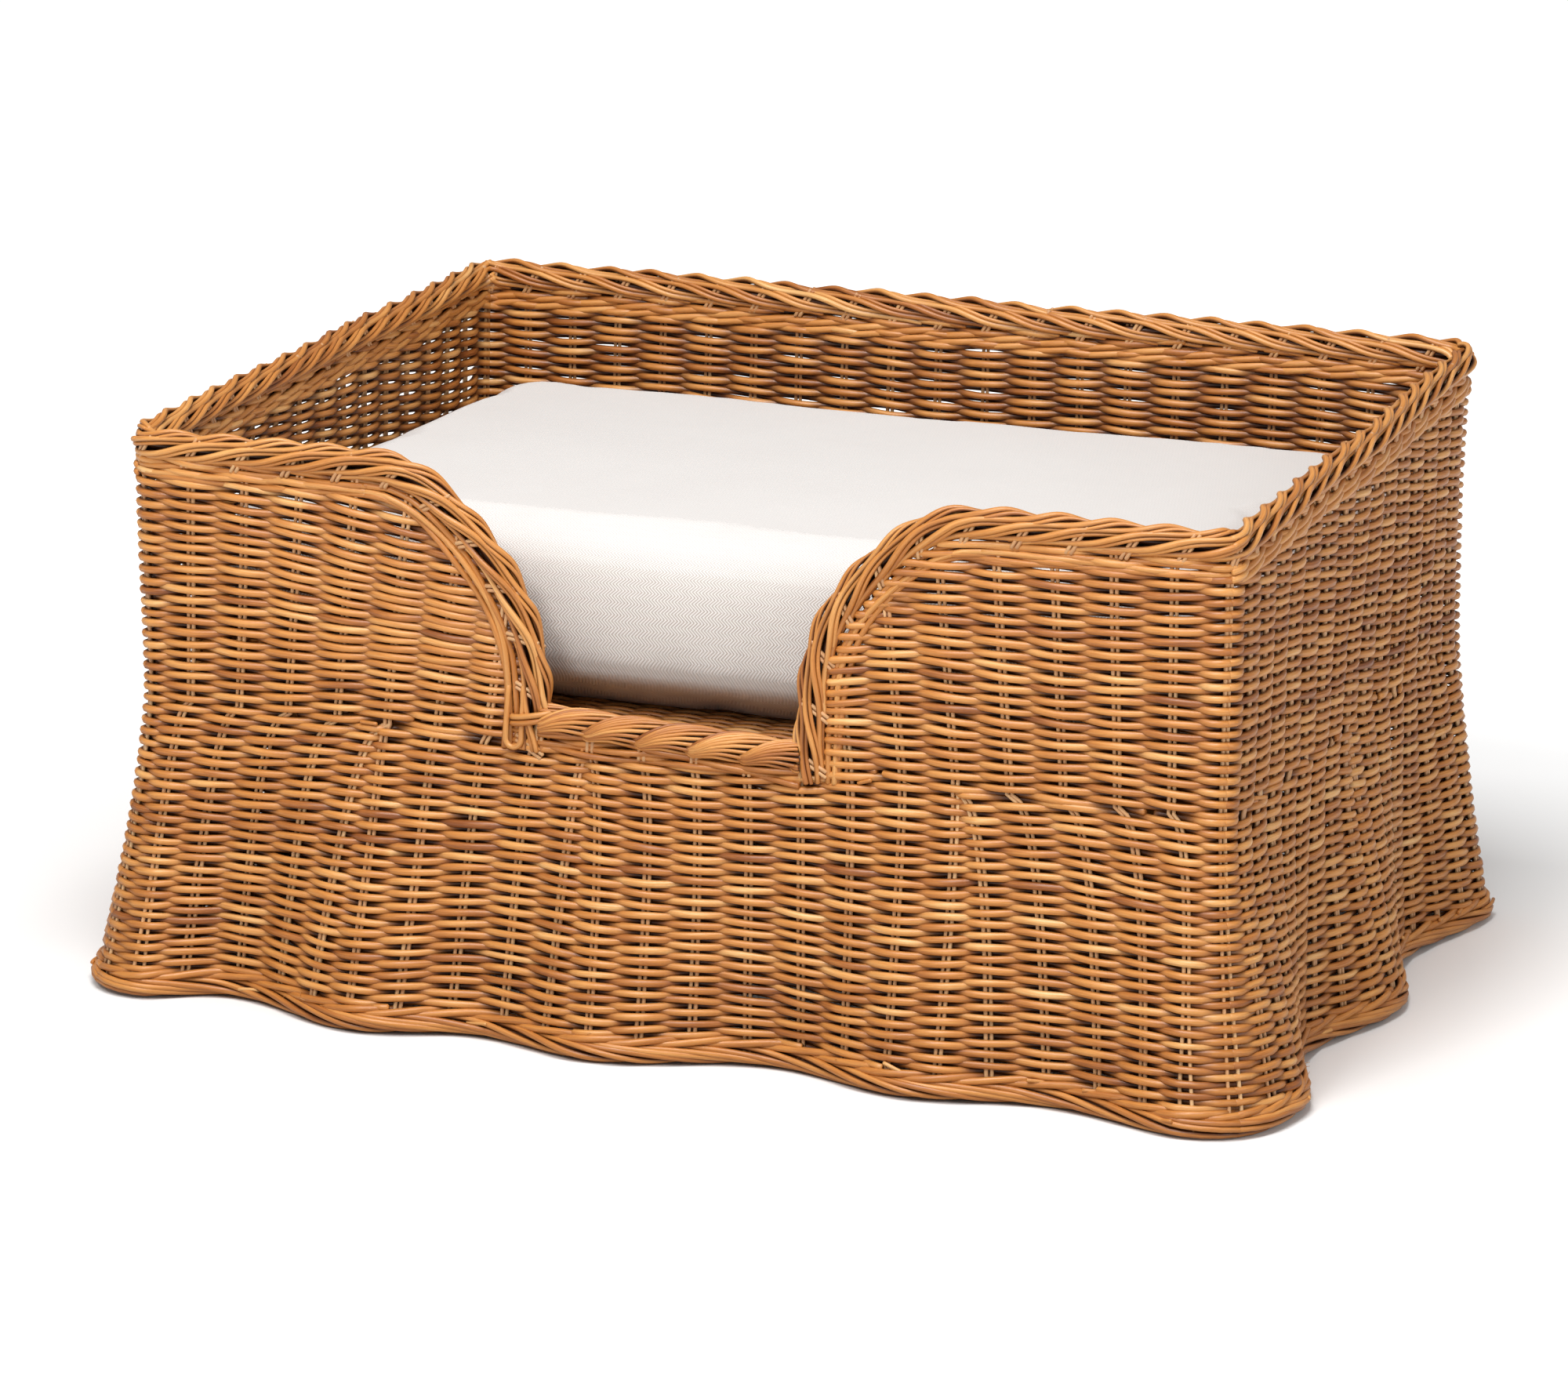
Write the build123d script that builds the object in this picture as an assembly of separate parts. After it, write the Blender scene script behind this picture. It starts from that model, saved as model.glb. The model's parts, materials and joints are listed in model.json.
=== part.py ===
from build123d import *
import math
import os

# Wicker pet bed basket, in millimetres.
# +Z is up, the floor is z = 0, the entrance looks along -Y, and the origin is the middle of the base.
# A straight woven wall stands on a ruffled skirt. A rattan-pole base inside carries a removable cushion.

# Driving dimensions
RIM_WIDTH = 760.0
RIM_DEPTH = 570.0
FRONT_HEIGHT = 380.0
BACK_HEIGHT = 410.0
SHOULDER_HEIGHT = 200.0
CORNER_RADIUS = 20.0

# Woven wall and its stakes
WALL_THICK = 11.0
WALL_INSET = 2.0
FRONT_SPACES = 21
SIDE_SPACES = 16
REED_DIAMETER = 2.8
REED_PITCH = 3.4
REED_CLEARANCE = 0.2

# Rim, waling and sill bands
RIM_THICK = 15.0
RIM_BAND = 24.0
WALE_PROUD = 1.5
WALE_HIGH = 8.0
SILL_TOP = 224.0
SILL_THICK = 20.0

# Entrance: the right-hand edge as (x, z) from the rim down to the sill, mirrored for the left
ENTRANCE_EDGE = [(205, 383), (165, 369), (130, 341), (103, 306), (90, 268), (87, 225), (87, 195)]

# Skirt: each crest and hollow of the ruffle, as (share of the side's length, reach at the hem).
# The sides follow each other round the basket: front from its left end, then right, back and left.
SKIRT_THICK = 9.0
FLARE_POWER = 1.3
RUFFLES = {
    "front": [(0, 34), (0.09, 2), (0.235, 43), (0.335, 20), (0.45, 42), (0.605, 1), (0.735, 29),
              (0.85, 8), (1, 39)],
    "right": [(0, 39), (0.07, 43), (0.3, 9), (0.53, 37), (0.74, 8), (1, 34)],
    "back": [(0, 34), (0.13, 3), (0.27, 40), (0.385, 8), (0.5, 43), (0.62, 2), (0.75, 38),
             (0.87, 4), (1, 34)],
    "left": [(0, 34), (0.27, 6), (0.5, 38), (0.73, 8), (0.93, 43), (1, 34)],
}
HEM_HIGH = 12.0
HEM_THICK = 13.0

# Rattan-pole base
POLE_DIAMETER = 22.0
CROSSBAR_DIAMETER = 16.0
CROSSBAR_COUNT = 5
CROSSBAR_PITCH = 120.0
MAT_THICK = 6.0
MAT_GAP = 6.0
POLE_GAP = 1.0
RAIL_END = 5.0

# Cushion
CUSHION_WIDTH = 708.0
CUSHION_FRONT = -260.0
CUSHION_BACK = 254.0
CUSHION_TOP = 334.0
CUSHION_CORNER = 32.0
CUSHION_EDGE = 20.0
COVER_THICK = 1.5
SEAM_DROP = 22.0
BOTTOM_SEAM = 12.0
SEAT_GAP = 0.5

# Zip along the back of the cushion
ZIP_LENGTH = 600.0
ZIP_HEIGHT = 272.0
TAPE_WIDE = 24.0
TAPE_THICK = 0.8
COIL_WIDE = 6.0
COIL_THICK = 2.0
SLIDER_LONG = 11.0
SLIDER_WIDE = 9.0
SLIDER_PLATE = 1.4
SLIDER_GAP = 0.4
ZIP_END_MARGIN = 20.0
BAIL_RADIUS = 0.7
BAIL_POST = 1.4
PULL_EYE_RADIUS = 2.2
PULL_HOLE_RADIUS = 1.05
PULL_REACH = 6.8
PULL_WIDE = 5.0
PULL_THICK = 1.2

# Worked out from the dimensions above
WALL_WIDTH = RIM_WIDTH - 2 * WALL_INSET
WALL_DEPTH = RIM_DEPTH - 2 * WALL_INSET
WALE_BOTTOM = SHOULDER_HEIGHT - WALE_HIGH / 2
WALE_TOP = SHOULDER_HEIGHT + WALE_HIGH / 2
TALL = 600.0
POLE_RADIUS = POLE_DIAMETER / 2
POLE_X = WALL_WIDTH / 2 - WALL_THICK - POLE_GAP - POLE_RADIUS
POLE_Y = WALL_DEPTH / 2 - WALL_THICK - POLE_GAP - POLE_RADIUS
POLE_Z = 190.0
MAT_BOTTOM = POLE_Z + POLE_RADIUS
MAT_TOP = MAT_BOTTOM + MAT_THICK
SIDES = ["front", "right", "back", "left"]


def save(node, *solids):
    """Writes one node: a single solid, or several loose ones kept together."""
    flat = [piece for solid in solids for piece in solid.solids()]
    shape = flat[0] if len(flat) == 1 else Compound(children=flat)
    export_step(shape, f"parts/{node}.step")


# ---------------------------------------------------------------- plan and height helpers
def plan_ring(grow, thick):
    """The basket's outline seen from above, grown outwards, as a band of the given thickness."""
    width = WALL_WIDTH + 2 * grow
    depth = WALL_DEPTH + 2 * grow
    outer = RectangleRounded(width, depth, CORNER_RADIUS + grow)
    inner = RectangleRounded(width - 2 * thick, depth - 2 * thick, CORNER_RADIUS + grow - thick)
    return outer - inner


def side_mask(side):
    """The part of the plan that belongs to one side, cut at 45 degrees through the corners."""
    out_x = WALL_WIDTH / 2 + 90
    out_y = WALL_DEPTH / 2 + 90
    in_x = WALL_WIDTH / 2 - 150
    in_y = WALL_DEPTH / 2 - 150
    corners = {
        "front": [(-out_x, -out_y), (out_x, -out_y), (in_x, -in_y), (-in_x, -in_y)],
        "right": [(out_x, -out_y), (out_x, out_y), (in_x, in_y), (in_x, -in_y)],
        "back": [(out_x, out_y), (-out_x, out_y), (-in_x, in_y), (in_x, in_y)],
        "left": [(-out_x, out_y), (-out_x, -out_y), (-in_x, -in_y), (-in_x, in_y)],
    }
    return Polygon(*corners[side], align=None)


def under_rim(drop):
    """Everything lower than the sloping rim by the given drop."""
    slope = (BACK_HEIGHT - FRONT_HEIGHT) / RIM_DEPTH
    reach = RIM_DEPTH
    middle = (BACK_HEIGHT + FRONT_HEIGHT) / 2 - drop
    front_top = (-reach, middle - slope * reach)
    back_top = (reach, middle + slope * reach)
    section = Polygon(front_top, back_top, (reach, -RIM_BAND), (-reach, -RIM_BAND), align=None)
    return extrude(Plane.YZ * section, amount=RIM_WIDTH, both=True)


def entrance(grow):
    """The U-shaped entrance through the front wall, with its edge grown outwards by the given amount."""
    edge = []
    for i, (x, z) in enumerate(ENTRANCE_EDGE):
        before = ENTRANCE_EDGE[max(i - 1, 0)]
        after = ENTRANCE_EDGE[min(i + 1, len(ENTRANCE_EDGE) - 1)]
        run = math.hypot(after[0] - before[0], after[1] - before[1])
        edge.append((x - grow * (after[1] - before[1]) / run, z + grow * (after[0] - before[0]) / run))
    right = Spline(*edge)
    left = Spline(*[(-x, z) for x, z in reversed(edge)])
    bottom = Line(right @ 1, left @ 0)
    outline = right + bottom + left + Polyline(left @ 1, (-edge[0][0], TALL), (edge[0][0], TALL), right @ 0)
    section = make_face(outline)
    hole = extrude(Plane.XZ * section, amount=WALL_DEPTH / 2 + 60)
    return hole - Pos(0, WALL_DEPTH / 4 - 80, 0) * Box(2 * RIM_WIDTH, WALL_DEPTH, 4 * TALL)


def raised(section, low, high):
    """A plan section extruded between two heights."""
    return Pos(0, 0, low) * extrude(section, amount=high - low)


# ---------------------------------------------------------------- stakes
def stake_places(side):
    """(x, y, turn) of each stake pair in one side, without the corners."""
    middle_x = (WALL_WIDTH - WALL_THICK) / 2
    middle_y = (WALL_DEPTH - WALL_THICK) / 2
    if side in ("front", "back"):
        y = -middle_y if side == "front" else middle_y
        pitch = WALL_WIDTH / FRONT_SPACES
        return [(-WALL_WIDTH / 2 + i * pitch, y, 0) for i in range(1, FRONT_SPACES)]
    x = middle_x if side == "right" else -middle_x
    pitch = WALL_DEPTH / SIDE_SPACES
    return [(x, -WALL_DEPTH / 2 + i * pitch, 90) for i in range(1, SIDE_SPACES)]


def corner_places():
    """(x, y, turn) of the four corner stake pairs, on the 45 degree lines."""
    reach = (CORNER_RADIUS - WALL_THICK / 2) / math.sqrt(2)
    x = WALL_WIDTH / 2 - CORNER_RADIUS + reach
    y = WALL_DEPTH / 2 - CORNER_RADIUS + reach
    return [(-x, -y, -45), (x, -y, 45), (x, y, -45), (-x, y, 45)]


def slots(places):
    """The channel that each stake pair stands in, in plan."""
    long = REED_PITCH + REED_DIAMETER + 2 * REED_CLEARANCE
    wide = REED_DIAMETER + 2 * REED_CLEARANCE
    return [Pos(x, y) * Rot(0, 0, turn) * Rectangle(long, wide) for x, y, turn in places]


def reeds(places):
    """Two round reeds for each stake pair, from the waling up to the rim band."""
    top = under_rim(RIM_BAND)
    made = []
    for x, y, turn in places:
        for side in (-REED_PITCH / 2, REED_PITCH / 2):
            section = Pos(x, y) * Rot(0, 0, turn) * Pos(side, 0) * Circle(REED_DIAMETER / 2)
            made.append(raised(section, WALE_TOP, TALL) & top)
    return made


# ---------------------------------------------------------------- woven wall, bands and borders
def build_wall():
    holes = slots(corner_places())
    top = under_rim(RIM_BAND)
    for side in SIDES:
        section = plan_ring(0, WALL_THICK) & side_mask(side)
        for hole in slots(stake_places(side)) + holes:
            section = section - hole
        wall = raised(section, WALE_TOP, TALL) & top
        if side == "front":
            left, right = halves(wall - entrance(RIM_BAND))
            save("wall_front_left", left)
            save("wall_front_right", right)
        else:
            save(f"wall_{side}", wall)


def halves(shape):
    """The solids of a shape with x below zero, and those with x above zero."""
    left = [s for s in shape.solids() if s.center().X < 0]
    right = [s for s in shape.solids() if s.center().X > 0]
    return Compound(children=left), Compound(children=right)


def build_stakes():
    for side in ("right", "back", "left"):
        save(f"stakes_{side}", *reeds(stake_places(side)))
    save("stakes_corners", *reeds(corner_places()))
    opening = entrance(RIM_BAND)
    clear = ENTRANCE_EDGE[-1][0] + RIM_BAND
    places = [place for place in stake_places("front") if abs(place[0]) > clear]
    front = [reed - opening for reed in reeds(places)]
    save("stakes_front_left", *[reed for reed in front if reed.center().X < 0])
    save("stakes_front_right", *[reed for reed in front if reed.center().X > 0])


def build_rim():
    grow = (RIM_THICK - WALL_THICK) / 2
    for side in SIDES:
        section = plan_ring(grow, RIM_THICK) & side_mask(side)
        bar = (raised(section, WALE_TOP, TALL) & under_rim(0)) - under_rim(RIM_BAND)
        if side == "front":
            left, right = halves(bar - entrance(RIM_BAND))
            save("rim_front_left", left)
            save("rim_front_right", right)
        else:
            save(f"rim_{side}", bar)
    section = plan_ring(grow, RIM_THICK) & side_mask("front")
    band = raised(section, WALE_TOP, TALL) & under_rim(0) & entrance(RIM_BAND)
    left, right = halves(band - entrance(0))
    save("entrance_edge_left", left)
    save("entrance_edge_right", right)


def build_sill():
    y = -WALL_DEPTH / 2 + WALL_THICK / 2
    low = WALE_TOP
    bar = Pos(0, y, (low + SILL_TOP) / 2) * Box(3 * ENTRANCE_EDGE[-1][0], SILL_THICK, SILL_TOP - low)
    top_edges = bar.edges().filter_by(Axis.X).group_by(Axis.Z)[-1]
    save("sill_border", fillet(top_edges, SILL_THICK / 4) & entrance(0))


def build_waling():
    ring = plan_ring(WALE_PROUD, WALL_THICK + 2 * WALE_PROUD)
    for side in SIDES:
        save(f"waling_{side}", raised(ring & side_mask(side), WALE_BOTTOM, WALE_TOP))


# ---------------------------------------------------------------- ruffled skirt
def outline_at(side, share):
    """Point and outward normal on the straight outline, at a share of the side from corner to corner."""
    width, depth = WALL_WIDTH, WALL_DEPTH
    if side in ("right", "left"):
        width, depth = depth, width
    straight = width - 2 * CORNER_RADIUS
    arc = CORNER_RADIUS * math.pi / 4
    run = share * (straight + 2 * arc) - arc
    along = min(max(run, 0.0), straight)
    turn = (run - along) / CORNER_RADIUS
    x = along - straight / 2 + CORNER_RADIUS * math.sin(turn)
    point = (x, CORNER_RADIUS * (1 - math.cos(turn)) - depth / 2)
    spin = SIDES.index(side) * math.pi / 2
    return turned(point, spin), turned((math.sin(turn), -math.cos(turn)), spin)


def turned(point, angle):
    """A plan point turned about the middle."""
    x, y = point
    return (x * math.cos(angle) - y * math.sin(angle), x * math.sin(angle) + y * math.cos(angle))


def ruffle(side, share, height):
    """How far the skirt stands out of the straight outline there."""
    fall = max(0.0, (SHOULDER_HEIGHT - height) / SHOULDER_HEIGHT) ** FLARE_POWER
    waves = RUFFLES[side]
    index = max(i for i in range(len(waves) - 1) if waves[i][0] <= share)
    (start, start_out), (end, end_out) = waves[index], waves[index + 1]
    blend = (1 - math.cos(math.pi * (share - start) / (end - start))) / 2
    return fall * (start_out + (end_out - start_out) * blend)


def skirt_section(side, height, out, thick, count):
    """A closed plan face following the ruffle at one height."""
    outer = []
    inner = []
    for i in range(count):
        share = i / (count - 1)
        (x, y), (nx, ny) = outline_at(side, share)
        reach = ruffle(side, share, height) + out
        outer.append((x + nx * reach, y + ny * reach))
        inner.append((x + nx * (reach - thick), y + ny * (reach - thick)))
    front = Spline(*outer)
    back = Spline(*reversed(inner))
    return make_face(front + Line(front @ 1, back @ 0) + back + Line(back @ 1, front @ 0))


def build_skirt():
    levels = [WALE_BOTTOM, 160.0, 115.0, 60.0, HEM_HIGH]
    for side in SIDES:
        count = 41 if side in ("front", "back") else 29
        faces = [Pos(0, 0, z) * skirt_section(side, z, 0, SKIRT_THICK, count) for z in levels]
        save(f"skirt_{side}", loft(faces))
        proud = (HEM_THICK - SKIRT_THICK) / 2
        save(f"hem_{side}", raised(skirt_section(side, HEM_HIGH / 2, proud, HEM_THICK, count), 0, HEM_HIGH))


# ---------------------------------------------------------------- pole base
def pole(start, end, diameter):
    """A straight round pole between two points."""
    run = Vector(end) - Vector(start)
    return extrude(Plane(origin=start, z_dir=run) * Circle(diameter / 2), amount=run.length)


def build_base():
    reach = POLE_X + RAIL_END
    front_rail = pole((-reach, -POLE_Y, POLE_Z), (reach, -POLE_Y, POLE_Z), POLE_DIAMETER)
    back_rail = pole((-reach, POLE_Y, POLE_Z), (reach, POLE_Y, POLE_Z), POLE_DIAMETER)
    save("base_rail_front", front_rail)
    save("base_rail_back", back_rail)
    side_rails = {}
    for name, x in (("left", -POLE_X), ("right", POLE_X)):
        rail = pole((x, -POLE_Y, POLE_Z), (x, POLE_Y, POLE_Z), POLE_DIAMETER)
        side_rails[name] = rail - front_rail - back_rail
        save(f"base_rail_{name}", side_rails[name])
    for end, y, rail in (("front", -POLE_Y, front_rail), ("back", POLE_Y, back_rail)):
        for name, x in (("left", -POLE_X), ("right", POLE_X)):
            leg = pole((x, y, 0), (x, y, POLE_Z), POLE_DIAMETER) - rail - side_rails[name]
            save(f"leg_{end}_{name}", leg)
    bar_z = MAT_BOTTOM - CROSSBAR_DIAMETER / 2
    bars = []
    for i in range(CROSSBAR_COUNT):
        x = (i - (CROSSBAR_COUNT - 1) / 2) * CROSSBAR_PITCH
        bar = pole((x, -POLE_Y, bar_z), (x, POLE_Y, bar_z), CROSSBAR_DIAMETER)
        bars.append(bar - front_rail - back_rail)
    save("base_crossbars", *bars)
    inner = WALL_THICK + MAT_GAP
    mat = RectangleRounded(WALL_WIDTH - 2 * inner, WALL_DEPTH - 2 * inner, CORNER_RADIUS / 2)
    save("base_mat", raised(mat, MAT_BOTTOM, MAT_TOP))


# ---------------------------------------------------------------- cushion
def pillow(inset):
    """The cushion's outer shape, taken in by the given amount on every side."""
    low = MAT_TOP + SEAT_GAP + inset
    high = CUSHION_TOP - inset
    depth = CUSHION_BACK - CUSHION_FRONT - 2 * inset
    block = Pos(0, (CUSHION_BACK + CUSHION_FRONT) / 2, (low + high) / 2)
    block = block * Box(CUSHION_WIDTH - 2 * inset, depth, high - low)
    block = fillet(block.edges().filter_by(Axis.Z), CUSHION_CORNER - inset)
    rims = block.faces().sort_by(Axis.Z)
    return fillet(rims[0].edges() + rims[-1].edges(), CUSHION_EDGE - inset)


def build_cushion():
    filling = pillow(COVER_THICK)
    save("cushion_filling", filling)
    cover = pillow(0) - filling
    bottom_seam = MAT_TOP + SEAT_GAP + BOTTOM_SEAM
    top_seam = CUSHION_TOP - SEAM_DROP
    everywhere = Box(2 * RIM_WIDTH, 2 * RIM_DEPTH, TALL)
    save("cover_bottom", cover & Pos(0, 0, bottom_seam - TALL / 2) * everywhere)
    save("cover_top", cover & Pos(0, 0, top_seam + TALL / 2) * everywhere)
    band = Box(2 * RIM_WIDTH, 2 * RIM_DEPTH, top_seam - bottom_seam)
    save("cover_boxing", cover & Pos(0, 0, (bottom_seam + top_seam) / 2) * band)


# ---------------------------------------------------------------- zip
def build_zip():
    tape_y = CUSHION_BACK + TAPE_THICK / 2
    save("zip_tape", Pos(0, tape_y, ZIP_HEIGHT) * Box(ZIP_LENGTH, TAPE_THICK, TAPE_WIDE))
    coil_low = CUSHION_BACK + TAPE_THICK
    coil = Box(ZIP_LENGTH - 2 * ZIP_END_MARGIN, COIL_THICK, COIL_WIDE)
    save("zip_coil", Pos(0, coil_low + COIL_THICK / 2, ZIP_HEIGHT) * coil)

    slider_x = ZIP_LENGTH / 2 - ZIP_END_MARGIN - SLIDER_LONG
    plate_low = coil_low + COIL_THICK + SLIDER_GAP
    plate_high = plate_low + SLIDER_PLATE
    block_low = coil_low + SLIDER_GAP
    block = Box(SLIDER_LONG, plate_high - block_low, SLIDER_WIDE)
    block = fillet(block.edges().filter_by(Axis.Y), 2.0)
    body = Pos(slider_x, (block_low + plate_high) / 2, ZIP_HEIGHT) * block
    channel = Box(2 * SLIDER_LONG, 2 * (plate_low - block_low), COIL_WIDE + 2 * SLIDER_GAP)
    body = body - Pos(slider_x, block_low, ZIP_HEIGHT) * channel

    axis_y = plate_high + PULL_EYE_RADIUS + 0.2
    for side in (-1, 1):
        post_z = ZIP_HEIGHT + side * (PULL_THICK / 2 + 0.4 + BAIL_POST / 2)
        post_high = axis_y + BAIL_RADIUS
        post = Box(2 * BAIL_RADIUS + 0.6, post_high - plate_high + 0.4, BAIL_POST)
        body = body + Pos(slider_x, (plate_high - 0.4 + post_high) / 2, post_z) * post
    bail_long = PULL_THICK + 0.8 + BAIL_POST
    body = body + Pos(slider_x, axis_y, ZIP_HEIGHT) * Cylinder(BAIL_RADIUS, bail_long)
    save("zip_slider", body)

    tab = Pos(PULL_REACH / 2, 0, 0) * Box(PULL_REACH, PULL_WIDE - 1.6, PULL_THICK)
    tab = fillet(tab.edges().filter_by(Axis.Z).group_by(Axis.X)[-1], 1.2)
    pull = tab + Cylinder(PULL_EYE_RADIUS, PULL_THICK) - Cylinder(PULL_HOLE_RADIUS, 2 * PULL_THICK)
    save("zip_pull", Pos(slider_x, axis_y, ZIP_HEIGHT) * pull)


build_wall()
build_stakes()
build_rim()
build_sill()
build_waling()
build_skirt()
build_base()
build_cushion()
build_zip()
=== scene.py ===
import json
import math

import bpy
import numpy as np
from mathutils import Matrix, Vector

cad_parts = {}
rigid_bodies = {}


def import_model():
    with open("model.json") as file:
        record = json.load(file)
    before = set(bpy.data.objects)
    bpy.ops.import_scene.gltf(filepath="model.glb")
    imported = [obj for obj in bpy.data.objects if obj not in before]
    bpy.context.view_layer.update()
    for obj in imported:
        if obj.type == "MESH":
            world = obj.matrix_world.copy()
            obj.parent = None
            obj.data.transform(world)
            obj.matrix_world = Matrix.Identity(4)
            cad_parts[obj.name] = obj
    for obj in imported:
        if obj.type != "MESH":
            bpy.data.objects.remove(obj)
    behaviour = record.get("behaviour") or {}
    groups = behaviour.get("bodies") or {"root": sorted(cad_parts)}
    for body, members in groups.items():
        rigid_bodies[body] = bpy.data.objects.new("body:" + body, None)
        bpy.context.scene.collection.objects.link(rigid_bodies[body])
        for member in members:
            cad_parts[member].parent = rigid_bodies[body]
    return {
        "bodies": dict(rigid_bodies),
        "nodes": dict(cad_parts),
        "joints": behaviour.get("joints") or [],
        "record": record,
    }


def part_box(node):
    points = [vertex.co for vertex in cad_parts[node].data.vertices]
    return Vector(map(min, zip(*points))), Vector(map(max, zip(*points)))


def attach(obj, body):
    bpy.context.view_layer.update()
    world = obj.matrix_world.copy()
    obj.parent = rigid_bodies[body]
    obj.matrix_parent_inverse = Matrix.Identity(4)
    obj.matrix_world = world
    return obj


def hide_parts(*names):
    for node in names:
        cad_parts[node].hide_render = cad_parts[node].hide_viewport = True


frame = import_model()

# Looks of the wicker pet bed basket, built around its CAD frame. +Z is up and the entrance looks along -Y.
# The weave is worked out in millimetres, reed by reed, and becomes metres when each mesh is made.
MM = 0.001
TURN = 2 * math.pi
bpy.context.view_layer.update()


def box_mm(*nodes):
    """Lowest and highest corner of some CAD nodes together, in millimetres."""
    corners = [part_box(node) for node in nodes]
    low = np.min([np.array(corner[0]) for corner in corners], axis=0)
    high = np.max([np.array(corner[1]) for corner in corners], axis=0)
    return low / MM, high / MM


# ---------------------------------------------------------------- sizes, from the frame
SIDES = ["front", "right", "back", "left"]
SPACES = {"front": 21, "right": 16, "back": 21, "left": 16}
START = {"front": 0, "right": 21, "back": 37, "left": 58}
ROUND = sum(SPACES.values())

WALL_LOW, WALL_HIGH = box_mm("wall_front_left", "wall_right", "wall_back", "wall_left")
WALL_WIDTH = WALL_HIGH[0] - WALL_LOW[0]
WALL_DEPTH = WALL_HIGH[1] - WALL_LOW[1]
CORNER_RADIUS = 20.0
WALL_THICK = 11.0
MIDDLE = -WALL_THICK / 2

RIM_BAND = 24.0
RIM_THICK = 15.0
RIM_LOW, RIM_HIGH = box_mm("rim_front_left", "rim_back")
FRONT_HEIGHT = RIM_LOW[2] + RIM_BAND
BACK_HEIGHT = RIM_HIGH[2]
WALE_LOW, WALE_HIGH = box_mm("waling_front")
SHOULDER = (WALE_LOW[2] + WALE_HIGH[2]) / 2
HEM_LOW, HEM_HIGH = box_mm("hem_front")
SILL_LOW, SILL_HIGH = box_mm("sill_border")

# The entrance's right-hand edge as (x, z) from the rim down to the sill, the same curve as in CAD
ENTRANCE_EDGE = [(205, 383), (165, 369), (130, 341), (103, 306), (90, 268), (87, 225), (87, 195)]

# Each crest and hollow of the skirt, as (share of the side, reach at the hem), the same as in CAD
FLARE_POWER = 1.3
RUFFLES = {
    "front": [(0, 34), (0.09, 2), (0.235, 43), (0.335, 20), (0.45, 42), (0.605, 1), (0.735, 29),
              (0.85, 8), (1, 39)],
    "right": [(0, 39), (0.07, 43), (0.3, 9), (0.53, 37), (0.74, 8), (1, 34)],
    "back": [(0, 34), (0.13, 3), (0.27, 40), (0.385, 8), (0.5, 43), (0.62, 2), (0.75, 38),
             (0.87, 4), (1, 34)],
    "left": [(0, 34), (0.27, 6), (0.5, 38), (0.73, 8), (0.93, 43), (1, 34)],
}
# How far the entrance's left edge stands nearer the middle at the sill than the CAD edge
LEFT_SHIFT = 7.0
# How far the front left corner leans out at the rim
CORNER_LEAN = 6.0

# Shares of each side where an extra stake pair is put in for the flare
ADDED_STAKES = {"front": [0.24, 0.45, 0.74], "right": [0.53], "back": [0.27, 0.5, 0.75], "left": [0.5]}

SKIRT_SPACES = {side: SPACES[side] + len(ADDED_STAKES[side]) for side in SIDES}
SKIRT_START = {side: sum(SKIRT_SPACES[s] for s in SIDES[:SIDES.index(side)]) for side in SIDES}
SKIRT_ROUND = sum(SKIRT_SPACES.values())

# Reeds: radius of a weaver and of a stake, half the gap of a stake pair, and how far a weaver swings
WEAVER = 2.54
STAKE = 1.4
PAIR = 1.7
SWING = 3.3
# How far the stakes stand out from the middle of the weave
STAKE_OUT = 1.0
# Chamfer at each end of a reed, in shares of its radius: its length, and the radius that is left
CHAMFER, CHAMFER_RADIUS = 0.4, 0.6

# Rows: how far apart, how finely cut, and how far they sink along each side and beside the entrance
ROWS = range(114)
ROW_PITCH = 3.65
STEPS_PER_SPACE = 6
SIDE_DROP = 30.0
LEFT_DROP = 14.0
WING_DROOP = 26.0
RIGHT_WING_DROOP = 9.0
DROOP_START = 215.0
# Spaces narrower than this are woven with a smaller swing
FULL_GAP = 25.0


# ---------------------------------------------------------------- the surface that the weave follows
def outline(side, share):
    """Points and outward normals of the wall's outer face, by share of the side between its corners."""
    width, depth = WALL_WIDTH, WALL_DEPTH
    if side in ("right", "left"):
        width, depth = depth, width
    straight = width - 2 * CORNER_RADIUS
    arc = CORNER_RADIUS * math.pi / 4
    run = share * (straight + 2 * arc) - arc
    along = np.clip(run, 0, straight)
    turn = (run - along) / CORNER_RADIUS
    x = along - straight / 2 + CORNER_RADIUS * np.sin(turn)
    y = CORNER_RADIUS * (1 - np.cos(turn)) - depth / 2
    spin = SIDES.index(side) * math.pi / 2
    cos, sin = math.cos(spin), math.sin(spin)
    points = np.stack([x * cos - y * sin, x * sin + y * cos], axis=-1)
    nx, ny = np.sin(turn), -np.cos(turn)
    return points, np.stack([nx * cos - ny * sin, nx * sin + ny * cos], axis=-1)


def side_length(side):
    """Length of one side between the middles of its corners."""
    width = WALL_WIDTH if side in ("front", "back") else WALL_DEPTH
    return width - 2 * CORNER_RADIUS + CORNER_RADIUS * math.pi / 2


def front_share(x):
    """Share of the front side at a place on its straight stretch."""
    return (np.asarray(x, float) + side_length("front") / 2) / side_length("front")


def ruffle(side, share, z):
    """How far the skirt stands out there."""
    fall = np.clip((SHOULDER - z) / SHOULDER, 0, None) ** FLARE_POWER
    places = np.array([wave[0] for wave in RUFFLES[side]], float)
    reaches = np.array([wave[1] for wave in RUFFLES[side]], float)
    index = np.clip(np.searchsorted(places, share, side="right") - 1, 0, len(places) - 2)
    blend = (1 - np.cos(math.pi * (share - places[index]) / (places[index + 1] - places[index]))) / 2
    return fall * (reaches[index] + (reaches[index + 1] - reaches[index]) * blend)


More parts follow.
